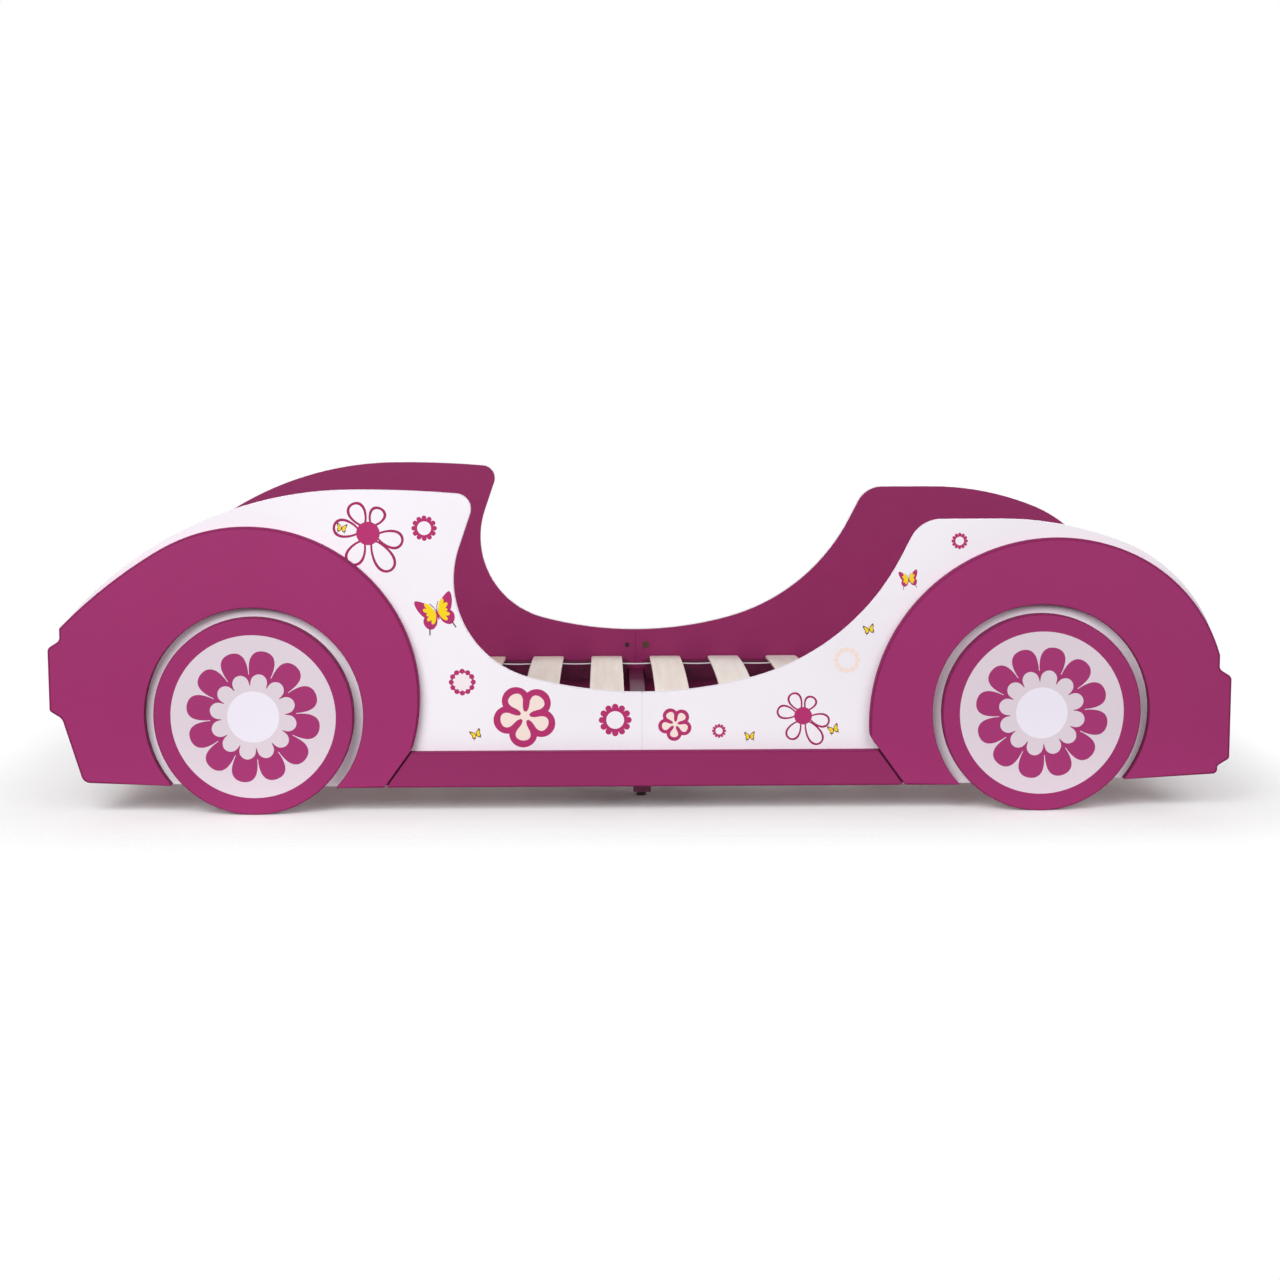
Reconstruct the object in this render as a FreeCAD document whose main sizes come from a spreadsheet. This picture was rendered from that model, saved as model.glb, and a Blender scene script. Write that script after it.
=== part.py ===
import FreeCAD, Part
import math
import os
import Sketcher

# A single bed for a child, built from flat boards in the outline of a small car.
# X runs from the head end to the foot end, Y from the right side to the left side, Z is up from the floor.
# The origin is on the floor, under the seam in the middle of the bed. All sizes are in millimetres.

doc = FreeCAD.newDocument("KidsBed")

# Driving sizes
SIZES = (
    # Whole bed
    ("mattress_length", 2000),
    ("mattress_play", 10),
    ("clear_width", 912),
    ("end_overhang", 49),
    ("underside_height", 47),
    ("overrun", 5),
    # Boards of the long sides
    ("panel_thickness", 16),
    ("head_height", 587),
    ("foot_height", 530),
    ("dip_height", 217),
    ("seam_gap", 0.6),
    # Bumper nose at each end
    ("bumper_depth", 22),
    ("bumper_bevel", 14),
    ("nose_top_radius", 5),
    ("bumper_hollow_radius", 11),
    ("bumper_top_radius", 10),
    ("bumper_bottom_radius", 7),
    ("head_nose_height", 341),
    ("head_bumper_top", 305),
    ("head_bumper_bottom", 191),
    ("head_under_radius", 18),
    ("head_chin_height", 59),
    ("head_chin_setback", 57),
    ("head_chin_radius", 17),
    ("foot_nose_height", 283),
    ("foot_bumper_top", 243),
    ("foot_bumper_bottom", 93),
    ("foot_under_radius", 6),
    ("foot_chin_height", 65),
    ("foot_chin_setback", 20),
    ("foot_chin_radius", 9),
    # Wheel discs
    ("wheel_diameter", 360),
    ("wheel_thickness", 25),
    ("head_wheel_inset", 368),
    ("foot_wheel_inset", 346),
    ("arch_gap", 17),
    # Fenders
    ("fender_thickness", 18),
    ("fender_edge_bevel", 3),
    ("fender_heel_radius", 25),
    ("fender_toe_radius", 5),
    ("head_fender_radius", 309.5),
    ("head_fender_inset", 358),
    ("head_fender_rise", 213),
    ("head_fender_toe_inset", 601),
    ("foot_fender_radius", 337),
    ("foot_fender_inset", 320),
    ("foot_fender_rise", 160),
    ("foot_fender_toe_inset", 591),
    # Sills
    ("sill_height", 65),
    ("sill_gap", 3.5),
    ("sill_edge_bevel", 3),
    # End boards
    ("end_board_thickness", 16),
    ("end_board_bottom", 100),
    ("head_board_height", 245),
    ("foot_board_height", 225),
    # Slat ledges
    ("ledge_width", 25),
    ("ledge_depth", 40),
    ("ledge_top", 150),
    ("ledge_end_gap", 2),
    # Centre beam and its feet
    ("beam_width", 32),
    ("beam_depth", 100),
    ("beam_bottom", 30),
    ("foot_spread", 650),
    ("foot_base_diameter", 20),
    ("foot_neck_diameter", 15),
    ("foot_base_height", 10),
    ("foot_stem_diameter", 10),
    ("foot_stem_insert", 20),
    # Slatted base
    ("slat_end_gap", 6),
    ("slat_row_gap", 11.5),
    ("slat_width", 67),
    ("slat_thickness", 8),
    ("slat_rise", 18),
    ("slat_seat_clearance", 0.3),
    ("tape_width", 20),
    ("tape_thickness", 1.2),
    ("tape_inset", 100),
    ("tape_clearance", 0.2),
    ("tape_end_margin", 8),
    ("staple_length", 12),
    ("staple_width", 1.4),
    ("staple_thickness", 0.8),
    # Fittings
    ("fitting_drop", 35),
    ("cam_diameter", 15),
    ("cam_length", 11),
    ("cam_recess", 1.5),
    ("cam_setback", 22),
    ("barrel_diameter", 10),
    ("barrel_length", 11),
    ("barrel_setback", 19),
    ("bolt_diameter", 6),
    ("bolt_tail", 7),
    ("board_bolt_bite", 11),
    ("dowel_diameter", 8),
    ("dowel_length", 30),
    ("dowel_bite", 10),
    ("seam_dowel_drop", 72),
    ("beam_dowel_offset", 9),
    ("fit_clearance", 0.15),
)

SLAT_COUNT = 16
FITTING_SIDES = 12
SAME_PLACE = 0.001

# Panel outline from the seam towards an end: share of the half length, share of the rise above the dip.
# Each row is a straight run to a point, or an arc through a middle point to an end point.
HEAD_TOP_SHARES = (
    ((0.0963, 0.0186), (0.1916, 0.0746)),
    ((0.2983, 0.3235), (0.3079, 0.7178)),
    (None, (0.2886, 0.8792)),
    ((0.2913, 0.9454), (0.3112, 0.9797)),
    ((0.3972, 0.9954), (0.4860, 1.0)),
)
HEAD_BACK_MID_SHARES = (0.7748, 0.8027)
FOOT_TOP_SHARES = (
    ((0.0963, 0.0220), (0.1916, 0.0882)),
    ((0.3364, 0.3428), (0.4389, 0.7764)),
    (None, (0.4566, 0.8955)),
    ((0.4774, 0.9722), (0.5066, 1.0)),
    (None, (0.6075, 1.0)),
    ((0.7196, 0.9613), (0.8224, 0.8537)),
)
FOOT_BACK_MID_SHARES = (0.9243, 0.5911)

# Fender round, in degrees about its centre with the bed's end ahead:
# its heel, and where it leaves for the nose
HEAD_FENDER_ANGLES = (197.9, 59.3)
FOOT_FENDER_ANGLES = (183.9, 72.2)

# Places along a piece
END_BOARD_DOWEL_SHARE = 0.22
END_BOARD_CAM_SHARE = 0.62


class Dim:
    """A length with its value and the sheet expression that gives it."""

    def __init__(self, value, text):
        self.value = value
        self.text = text

    def _join(self, sign, other, value):
        text = other.text if isinstance(other, Dim) else repr(other)
        return Dim(value, f"({self.text} {sign} {text})")

    def __add__(self, other):
        return self._join("+", other, self.value + other.value)

    def __sub__(self, other):
        return self._join("-", other, self.value - other.value)

    def __mul__(self, other):
        factor = other.value if isinstance(other, Dim) else other
        return self._join("*", other, self.value * factor)

    def __truediv__(self, other):
        factor = other.value if isinstance(other, Dim) else other
        return self._join("/", other, self.value / factor)

    def __neg__(self):
        return self * -1


def leg(hypotenuse, side):
    """The other leg of a right triangle."""
    value = math.sqrt(hypotenuse.value ** 2 - side.value ** 2)
    return Dim(value, f"sqrt({hypotenuse.text} ^ 2 - {side.text} ^ 2)")


ZERO = Dim(0, "0")

# The sheet
sheet = doc.addObject("Spreadsheet::Sheet", "Sizes")
for row, (alias, number) in enumerate(SIZES, start=1):
    sheet.set(f"A{row}", alias)
    sheet.set(f"B{row}", str(number))
    sheet.setAlias(f"B{row}", alias)
doc.recompute()

D = {alias: Dim(float(sheet.get(alias)), f"Sizes.{alias}") for alias, number in SIZES}

# Lengths worked out once and shared
HALF_CLEAR = D["clear_width"] / 2
HALF_MATTRESS = (D["mattress_length"] + D["mattress_play"]) / 2
HALF_LENGTH = HALF_MATTRESS + D["end_board_thickness"] + D["end_overhang"]
WHEEL_RADIUS = D["wheel_diameter"] / 2
HALF_SEAM = D["seam_gap"] / 2
BODY_LINE = HALF_LENGTH - D["bumper_depth"]
LEDGE_BOTTOM = D["ledge_top"] - D["ledge_depth"]
SLAT_SEAT = D["ledge_top"] + D["slat_seat_clearance"]
HALF_SLAT = HALF_CLEAR - D["slat_end_gap"]
SLAT_PITCH = (HALF_MATTRESS * 2 - D["slat_row_gap"] * 2 - D["slat_width"]) / (SLAT_COUNT - 1)
SLAT_RADIUS = (HALF_SLAT * HALF_SLAT + D["slat_rise"] * D["slat_rise"]) / (D["slat_rise"] * 2)
PANEL_MIDDLE = HALF_CLEAR + D["panel_thickness"] / 2

SIDES = (("right", -1), ("left", 1))
ENDS = (("head", -1), ("foot", 1))
pieces = []


def keep(piece, label):
    """Name a finished piece and put it on the list that is written out."""
    piece.Label = label
    pieces.append(piece)
    return piece


# Sketches

class Outline:
    """A sketch of lines and three-point arcs whose points are bound to the sheet."""

    def __init__(self, body, name, role):
        self.sketch = body.newObject("Sketcher::SketchObject", name)
        plane = [item for item in body.Origin.OriginFeatures if item.Role == role][0]
        self.sketch.AttachmentSupport = [(plane, "")]
        self.sketch.MapMode = "FlatFace"
        self.first = None
        self.last = None

    def _bind(self, kind, geometry, place, dim):
        if dim is ZERO:
            axis = -2 if kind == "DistanceX" else -1
            self.sketch.addConstraint(Sketcher.Constraint("PointOnObject", geometry, place, axis))
            return
        rule = Sketcher.Constraint(kind, -1, 1, geometry, place, dim.value)
        index = self.sketch.addConstraint(rule)
        self.sketch.setExpression(f"Constraints[{index}]", dim.text)

    def _pin(self, geometry, place, point):
        self._bind("DistanceX", geometry, place, point[0])
        self._bind("DistanceY", geometry, place, point[1])

    def _join(self, geometry, near, far, point):
        if self.last[1] is not None:
            rule = Sketcher.Constraint("Coincident", self.last[1], self.last[2], geometry, near)
            self.sketch.addConstraint(rule)
        else:
            self.first = (geometry, near)
            self._pin(geometry, near, self.last[0])
        self.last = (point, geometry, far)

    def start(self, point):
        """Set the first point."""
        self.last = (point, None, None)

    def line(self, point, closing=False):
        """Draw a straight run to a point."""
        begin = self.last[0]
        segment = Part.LineSegment(flat(begin), flat(point))
        geometry = self.sketch.addGeometry(segment, False)
        self._join(geometry, 1, 2, point)
        if closing:
            self.sketch.addConstraint(Sketcher.Constraint("Coincident", geometry, 2, *self.first))
        else:
            self._pin(geometry, 2, point)

    def arc(self, middle, point):
        """Draw an arc through a middle point to an end point."""
        begin = self.last[0]
        curve = Part.Arc(flat(begin), flat(middle), flat(point))
        geometry = self.sketch.addGeometry(curve, False)
        chord = flat(point) - flat(begin)
        turn = chord.cross(flat(middle) - flat(begin)).z
        near, far = (1, 2) if turn < 0 else (2, 1)
        self._join(geometry, near, far, point)
        self._pin(geometry, far, point)
        marker = self.sketch.addGeometry(Part.Point(flat(middle)), True)
        self._pin(marker, 1, middle)
        self.sketch.addConstraint(Sketcher.Constraint("PointOnObject", marker, 1, geometry))

    def smooth_arc(self, point):
        """Draw an arc to a point that carries on smoothly from the arc before it."""
        begin, before, place = self.last
        centre = self.sketch.Geometry[before].Center
        spoke = flat(begin) - centre
        chord = flat(point) - flat(begin)
        reach = chord.Length ** 2 / (2 * spoke.dot(chord)) * spoke.Length
        middle = flat(begin) + spoke.normalize() * reach
        halfway = flat(begin) + chord / 2 - middle
        tip = middle + halfway.normalize() * abs(reach)
        curve = Part.Arc(flat(begin), tip, flat(point))
        geometry = self.sketch.addGeometry(curve, False)
        near, far = (1, 2) if chord.cross(tip - flat(begin)).z < 0 else (2, 1)
        self.sketch.addConstraint(Sketcher.Constraint("Tangent", before, place, geometry, near))
        self.last = (point, geometry, far)
        self._pin(geometry, far, point)

    def circle(self, centre, radius):
        """Draw a whole circle."""
        round_ = Part.Circle(flat(centre), FreeCAD.Vector(0, 0, 1), radius.value)
        geometry = self.sketch.addGeometry(round_, False)
        self._pin(geometry, 3, centre)
        index = self.sketch.addConstraint(Sketcher.Constraint("Radius", geometry, radius.value))
        self.sketch.setExpression(f"Constraints[{index}]", radius.text)


def flat(point):
    """A sketch point as a vector."""
    return FreeCAD.Vector(point[0].value, point[1].value, 0)


# Features

def new_body(name):
    """An empty body."""
    return doc.addObject("PartDesign::Body", name)


def pad(body, outline, length, backwards=False):
    """Pull an outline along its plane's normal."""
    feature = body.newObject("PartDesign::Pad", "Pad")
    feature.Profile = outline.sketch
    feature.setExpression("Length", length.text)
    feature.Reversed = backwards
    outline.sketch.Visibility = False
    doc.recompute()
    return feature


def cut_through(body, outline, depth, backwards):
    """Cut an outline through a body along its plane's normal."""
    before = body.Shape.Volume
    feature = body.newObject("PartDesign::Pocket", "Pocket")
    feature.Profile = outline.sketch
    feature.setExpression("Length", depth.text)
    feature.Reversed = backwards
    outline.sketch.Visibility = False
    doc.recompute()
    if feature.Shape.Volume >= before:
        raise RuntimeError(f"{body.Name}: the cut takes nothing away")
    return feature


def round_edges(body, feature, names, radius):
    """Round the named edges of a body's last feature."""
    fillet = body.newObject("PartDesign::Fillet", "Fillet")
    fillet.Base = (feature, names)
    fillet.setExpression("Radius", radius.text)
    doc.recompute()
    return fillet


def bevel_edges(body, feature, names, size):
    """Bevel the named edges of a body's last feature."""
    chamfer = body.newObject("PartDesign::Chamfer", "Chamfer")
    chamfer.Base = (feature, names)
    chamfer.setExpression("Size", size.text)
    doc.recompute()
    return chamfer


def cross_edges(shape, points):
    """Names of the edges that run along Y through given outline points."""
    names = []
    for number, edge in enumerate(shape.Edges, start=1):
        ends = [vertex.Point for vertex in edge.Vertexes]
        for point in points:
            spot = FreeCAD.Vector(point[0].value, 0, point[1].value)
            if all(math.hypot(end.x - spot.x, end.z - spot.z) < SAME_PLACE for end in ends):
                names.append(f"Edge{number}")
    return names


def face_edges(shape, depth):
    """Names of the edges that lie in the plane at a given Y."""
    names = []
    for number, edge in enumerate(shape.Edges, start=1):
        box = edge.BoundBox
        if abs(box.YMin - depth) < SAME_PLACE and abs(box.YMax - depth) < SAME_PLACE:
            names.append(f"Edge{number}")
    return names


def place(piece, x, y, z):
    """Bind a piece's position to the sheet."""
    for axis, dim in (("x", x), ("y", y), ("z", z)):
        piece.setExpression(f".Placement.Base.{axis}", dim.text)


TURNS = {
    "X": FreeCAD.Rotation(FreeCAD.Vector(0, 1, 0), 90),
    "Y": FreeCAD.Rotation(FreeCAD.Vector(1, 0, 0), -90),
    "Z": FreeCAD.Rotation(),
}


def rod(axis, x, y, z, diameter, length):
    """A small round bar with flat sides that starts at a point and runs along a positive axis."""
    bar = doc.addObject("Part::Prism", "Rod")
    bar.Polygon = FITTING_SIDES
    bar.setExpression("Circumradius", (diameter / 2).text)
    bar.setExpression("Height", length.text)
    bar.Placement = FreeCAD.Placement(FreeCAD.Vector(), TURNS[axis])
    place(bar, x, y, z)
    return bar


def block(x, y, z, length, width, height):
    """A rectangular bar from its lowest corner."""
    bar = doc.addObject("Part::Box", "Block")
    bar.setExpression("Length", length.text)
    bar.setExpression("Width", width.text)
    bar.setExpression("Height", height.text)
    place(bar, x, y, z)
    return bar


def group(members):
    """Several separate solids as one object."""
    bundle = doc.addObject("Part::Compound", "Group")
    bundle.Links = members
    doc.recompute()
    return bundle


def drill(base, tools):
    """Cut tools out of a piece."""
    cut = doc.addObject("Part::Cut", "Drilled")
    cut.Base = base
    cut.Tool = group(tools)
    doc.recompute()
    return cut


def grown(axis, x, y, z, diameter, length):
    """The bore for a rod: wider and longer than the rod by the fit clearance."""
    slack = D["fit_clearance"]
    start = {"X": x, "Y": y, "Z": z}
    start[axis] = start[axis] - slack
    return rod(axis, start["X"], start["Y"], start["Z"], diameter + slack * 2, length + slack * 2)


# Fittings: each entry holds the rods that are the fitting and the bores that the boards need

class Fittings:
    """Collects the rods of one kind of fitting and the bores that they need."""

    def __init__(self):
        self.rods = []
        self.bore_specs = []

    def add(self, axis, x, y, z, diameter, length, mouth=None):
        """Make one rod and remember its bore, which reaches a mouth if it opens in a board's face."""
        self.rods.append(rod(axis, x, y, z, diameter, length))
        place_along = {"X": x, "Y": y, "Z": z}
        if mouth is not None:
            start = place_along[axis]
            low, high = (mouth, start + length) if mouth.value < start.value else (start, mouth)
            place_along[axis] = low
            length = high - low
        spot = (place_along["X"], place_along["Y"], place_along["Z"])
        self.bore_specs.append((axis, *spot, diameter, length))

    def bores(self):
        """New bore tools for every rod."""
        return [grown(*spec) for spec in self.bore_specs]


def signed(sign, dim):
    """A length on the side that the sign gives."""
    return dim * sign


def along(sign, near, length):
    """Start of a rod that leaves near in the direction of sign, when rods only run forwards."""
    return near if sign > 0 else near - length


# Side panels and fenders share the bumper nose

def from_end(name):
    """Distance from the seam of a place that is set out from the bed's end."""
    return HALF_LENGTH - D[name]


def nose_points(end):
    """The five corners of the bumper nose, from the top down, as distances from the seam."""
    top = D[f"{end}_bumper_top"]
    bottom = D[f"{end}_bumper_bottom"]
    return (
        (BODY_LINE, top + D["bumper_bevel"]),
        (HALF_LENGTH, top),
        (HALF_LENGTH, bottom),
        (BODY_LINE, bottom - D["bumper_bevel"]),
        (HALF_LENGTH - D[f"{end}_chin_setback"], D[f"{end}_chin_height"]),
    )


def nose_top(end):
    """Where the outline comes down to the bumper nose."""
    return (BODY_LINE, D[f"{end}_nose_height"])


def mirrored(sign, point):
    """An outline point on the head side or the foot side."""
    return (signed(sign, point[0]), point[1])


def round_nose(body, board, end, end_sign):
    """Round the corners of the bumper nose, from the top down, and give the last feature."""
    radii = (
        "nose_top_radius",
        "bumper_hollow_radius",
        "bumper_top_radius",
        "bumper_bottom_radius",
        f"{end}_under_radius",
        f"{end}_chin_radius",
    )
    for point, radius in zip((nose_top(end),) + nose_points(end), radii):
        edges = cross_edges(board.Shape, [mirrored(end_sign, point)])
        board = round_edges(body, board, edges, D[radius])
    return board


def panel_point(end, shares):
    """A point of the panel's top edge from its shares."""
    rise = D[f"{end}_height"] - D["dip_height"]
    return (HALF_LENGTH * shares[0], D["dip_height"] + rise * shares[1])


def side_panel(side, side_sign, end, end_sign):
    """One half of a long side."""
    body = new_body(f"{side}_{end}_panel_board")
    draw = Outline(body, "PanelOutline", "XZ_Plane")
    top_shares = HEAD_TOP_SHARES if end == "head" else FOOT_TOP_SHARES
    back_mid = HEAD_BACK_MID_SHARES if end == "head" else FOOT_BACK_MID_SHARES
    bend = (from_end(f"{end}_wheel_inset"), D["underside_height"])
    draw.start(mirrored(end_sign, (HALF_SEAM, D["underside_height"])))
    draw.line(mirrored(end_sign, (HALF_SEAM, D["dip_height"])))
    for middle, point in top_shares:
        target = mirrored(end_sign, panel_point(end, point))
        if middle is None:
            draw.line(target)
        else:
            draw.arc(mirrored(end_sign, panel_point(end, middle)), target)
    draw.arc(mirrored(end_sign, panel_point(end, back_mid)), mirrored(end_sign, nose_top(end)))
    for corner in nose_points(end):
        draw.line(mirrored(end_sign, corner))
    draw.line(mirrored(end_sign, bend))
    draw.line(mirrored(end_sign, (HALF_SEAM, D["underside_height"])), closing=True)
    board = pad(body, draw, D["panel_thickness"], backwards=side_sign > 0)
    round_nose(body, board, end, end_sign)
    place(body, ZERO, signed(side_sign, HALF_CLEAR), ZERO)
    doc.recompute()
    return body


def fender_round(end, angle):
    """A point of the fender's round at an angle about its centre."""
    radius = D[f"{end}_fender_radius"]
    x = from_end(f"{end}_fender_inset") + radius * math.cos(math.radians(angle))
    z = D[f"{end}_fender_rise"] + radius * math.sin(math.radians(angle))
    return (x, z)


def fender(side, side_sign, end, end_sign):
    """A wheel arch board with its bumper nose and its round cut-out."""
    body = new_body(f"{side}_{end}_fender")
    draw = Outline(body, "FenderOutline", "XZ_Plane")
    heel_angle, round_angle = HEAD_FENDER_ANGLES if end == "head" else FOOT_FENDER_ANGLES
    toe = (from_end(f"{end}_fender_toe_inset"), D["underside_height"])
    heel = fender_round(end, heel_angle)
    crest = fender_round(end, (heel_angle + round_angle) / 2)
    leave = fender_round(end, round_angle)
    draw.start(mirrored(end_sign, toe))
    draw.line(mirrored(end_sign, heel))
    draw.arc(mirrored(end_sign, crest), mirrored(end_sign, leave))
    draw.smooth_arc(mirrored(end_sign, nose_top(end)))
    for corner in nose_points(end):
        draw.line(mirrored(end_sign, corner))
    draw.line(mirrored(end_sign, (from_end(f"{end}_wheel_inset"), D["underside_height"])))
    draw.line(mirrored(end_sign, toe), closing=True)
    backwards = side_sign > 0
    last = round_nose(body, pad(body, draw, D["fender_thickness"], backwards), end, end_sign)
    for point, radius in ((heel, D["fender_heel_radius"]), (toe, D["fender_toe_radius"])):
        last = round_edges(body, last, cross_edges(last.Shape, [mirrored(end_sign, point)]), radius)
    outer = D["fender_thickness"].value * side_sign
    bevel_edges(body, last, face_edges(last.Shape, outer), D["fender_edge_bevel"])
    hole = Outline(body, "WheelCutOut", "XZ_Plane")
    axle = (signed(end_sign, from_end(f"{end}_wheel_inset")), WHEEL_RADIUS)
    hole.circle(axle, WHEEL_RADIUS + D["arch_gap"])
    cut_through(body, hole, D["fender_thickness"] + D["overrun"], side_sign < 0)
    place(body, ZERO, signed(side_sign, HALF_CLEAR + D["panel_thickness"]), ZERO)
    doc.recompute()
    return body


def wheel(side, side_sign, end, end_sign):
    """A fixed wheel disc that stands on the floor."""
    body = new_body(f"{side}_{end}_wheel")
    draw = Outline(body, "WheelOutline", "XZ_Plane")
    draw.circle((signed(end_sign, from_end(f"{end}_wheel_inset")), WHEEL_RADIUS), WHEEL_RADIUS)
    pad(body, draw, D["wheel_thickness"], backwards=side_sign > 0)
    place(body, ZERO, signed(side_sign, HALF_CLEAR + D["panel_thickness"]), ZERO)
    doc.recompute()
    return body


def sill_end(end, height):
    """Distance from the seam of a sill's sloped end at a height above the underside."""
    angles = HEAD_FENDER_ANGLES if end == "head" else FOOT_FENDER_ANGLES
    heel = fender_round(end, angles[0])
    toe = from_end(f"{end}_fender_toe_inset")
    lean = (toe - heel[0]) / (heel[1] - D["underside_height"])
    return toe - lean * height - D["sill_gap"]


def sill(side, side_sign):
    """The board between the fenders that bridges the seam."""
    body = new_body(f"{side}_sill")
    draw = Outline(body, "SillOutline", "XZ_Plane")
    low = D["underside_height"]
    high = low + D["sill_height"]
    draw.start((-sill_end("head", ZERO), low))
    draw.line((-sill_end("head", D["sill_height"]), high))
    draw.line((sill_end("foot", D["sill_height"]), high))
    draw.line((sill_end("foot", ZERO), low))
    draw.line((-sill_end("head", ZERO), low), closing=True)
    board = pad(body, draw, D["fender_thickness"], backwards=side_sign > 0)
    outer = D["fender_thickness"].value * side_sign
    bevel_edges(body, board, face_edges(board.Shape, outer), D["sill_edge_bevel"])
    place(body, ZERO, signed(side_sign, HALF_CLEAR + D["panel_thickness"]), ZERO)
    doc.recompute()
    return body


# Fittings of the seam, the beam and the end boards
cams = Fittings()
barrels = Fittings()
seam_bolts = Fittings()
board_bolts = Fittings()
dowels = Fittings()


def seam_fittings(side_sign):
    """Cam lock, barrel nut, bolt and dowel that draw two panel halves together."""
    height = D["dip_height"] - D["fitting_drop"]
    middle = signed(side_sign, PANEL_MIDDLE)
    mouth = signed(side_sign, HALF_CLEAR - D["overrun"])
    seat = signed(side_sign, HALF_CLEAR + D["cam_recess"])
    cam_start = along(side_sign, seat, D["cam_length"])
    cams.add("Y", D["cam_setback"], cam_start, height, D["cam_diameter"], D["cam_length"], mouth)
    barrel_start = along(side_sign, seat, D["barrel_length"])
    barrels.add(
        "Y", -D["barrel_setback"], barrel_start, height, D["barrel_diameter"], D["barrel_length"], mouth
    )
    bolt_start = -(D["barrel_setback"] + D["bolt_tail"])
    seam_bolts.add("X", bolt_start, middle, height, D["bolt_diameter"], D["cam_setback"] - bolt_start)
    dowel_start = -(D["dowel_length"] / 2)
    dowel_height = D["dip_height"] - D["seam_dowel_drop"]
    dowels.add("X", dowel_start, middle, dowel_height, D["dowel_diameter"], D["dowel_length"])


def beam_dowels(side_sign, end_sign):
    """The dowel between the centre beam and one panel half."""
    far = signed(side_sign, HALF_CLEAR + D["dowel_bite"])
    start = along(-side_sign, far, D["dowel_length"])
    x = signed(end_sign, D["beam_dowel_offset"])
    height = D["beam_bottom"] + D["beam_depth"] / 2
    dowels.add("Y", x, start, height, D["dowel_diameter"], D["dowel_length"])


def end_board_fittings(side_sign, end, end_sign):
    """Dowel, bolt and cam lock at one corner of an end board."""
    x = signed(end_sign, HALF_MATTRESS + D["end_board_thickness"] / 2)
    height = D[f"{end}_board_height"]
    low = D["end_board_bottom"] + height * END_BOARD_DOWEL_SHARE
    high = D["end_board_bottom"] + height * END_BOARD_CAM_SHARE
    far = signed(side_sign, HALF_CLEAR + D["dowel_bite"])
    dowel_start = along(-side_sign, far, D["dowel_length"])
    dowels.add("Y", x, dowel_start, low, D["dowel_diameter"], D["dowel_length"])
    bolt_length = D["board_bolt_bite"] + D["cam_setback"]
    bolt_end = signed(side_sign, HALF_CLEAR + D["board_bolt_bite"])
    bolt_start = along(-side_sign, bolt_end, bolt_length)
    board_bolts.add("Y", x, bolt_start, high, D["bolt_diameter"], bolt_length)
    mouth = signed(end_sign, HALF_MATTRESS - D["overrun"])
    seat = signed(end_sign, HALF_MATTRESS + D["cam_recess"])
    cam_y = signed(side_sign, HALF_CLEAR - D["cam_setback"])
    cam_x = along(end_sign, seat, D["cam_length"])
    cams.add("X", cam_x, cam_y, high, D["cam_diameter"], D["cam_length"], mouth)


for side, side_sign in SIDES:
    seam_fittings(side_sign)
    for end, end_sign in ENDS:
        beam_dowels(side_sign, end_sign)
        end_board_fittings(side_sign, end, end_sign)


def all_bores():
    """Fresh bore tools for every fitting of the frame."""
    tools = []
    for fittings in (cams, barrels, seam_bolts, board_bolts, dowels):
        tools += fittings.bores()
    return tools


# Build the long sides
for side, side_sign in SIDES:
    for end, end_sign in ENDS:
        keep(drill(side_panel(side, side_sign, end, end_sign), all_bores()), f"{side}_{end}_panel")
        keep(fender(side, side_sign, end, end_sign), f"{side}_{end}_fender")
        keep(wheel(side, side_sign, end, end_sign), f"{side}_{end}_wheel")
    keep(sill(side, side_sign), f"{side}_sill")

# End boards
for end, end_sign in ENDS:
    thickness = D["end_board_thickness"]
    low_x = along(end_sign, signed(end_sign, HALF_MATTRESS), thickness)
    height = D[f"{end}_board_height"]
    board = block(low_x, -HALF_CLEAR, D["end_board_bottom"], thickness, D["clear_width"], height)
    keep(drill(board, all_bores()), f"{end}_end_board")

# Slat ledges
ledge_start = D["beam_width"] / 2 + D["ledge_end_gap"]
ledge_length = HALF_MATTRESS - D["ledge_end_gap"] - ledge_start
for side, side_sign in SIDES:
    for end, end_sign in ENDS:
        low_x = along(end_sign, signed(end_sign, ledge_start), ledge_length)
        low_y = along(-side_sign, signed(side_sign, HALF_CLEAR), D["ledge_width"])
        ledge = block(low_x, low_y, LEDGE_BOTTOM, ledge_length, D["ledge_width"], D["ledge_depth"])
        keep(ledge, f"{side}_{end}_ledge")

# Centre beam and its feet
HALF_SPREAD = D["foot_spread"] / 2
STEM_LENGTH = D["beam_bottom"] - D["foot_base_height"] + D["foot_stem_insert"]
stem_tools = []
feet = []
for side, side_sign in SIDES:
    y = signed(side_sign, HALF_SPREAD)
    base = doc.addObject("Part::Cone", "FootBase")
    base.setExpression("Radius1", (D["foot_base_diameter"] / 2).text)
    base.setExpression("Radius2", (D["foot_neck_diameter"] / 2).text)
    base.setExpression("Height", D["foot_base_height"].text)
    place(base, ZERO, y, ZERO)
    stem_spec = ("Z", ZERO, y, D["foot_base_height"], D["foot_stem_diameter"], STEM_LENGTH)
    foot = doc.addObject("Part::Fuse", "Foot")
    foot.Base = base
    foot.Tool = rod(*stem_spec)
    feet.append(foot)
    stem_tools.append(grown(*stem_spec))
beam = block(
    -(D["beam_width"] / 2),
    -HALF_CLEAR,
    D["beam_bottom"],
    D["beam_width"],
    D["clear_width"],
    D["beam_depth"],
)
keep(drill(beam, dowels.bores() + stem_tools), "centre_beam")
keep(group(feet), "beam_feet")


# Slatted base

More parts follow.
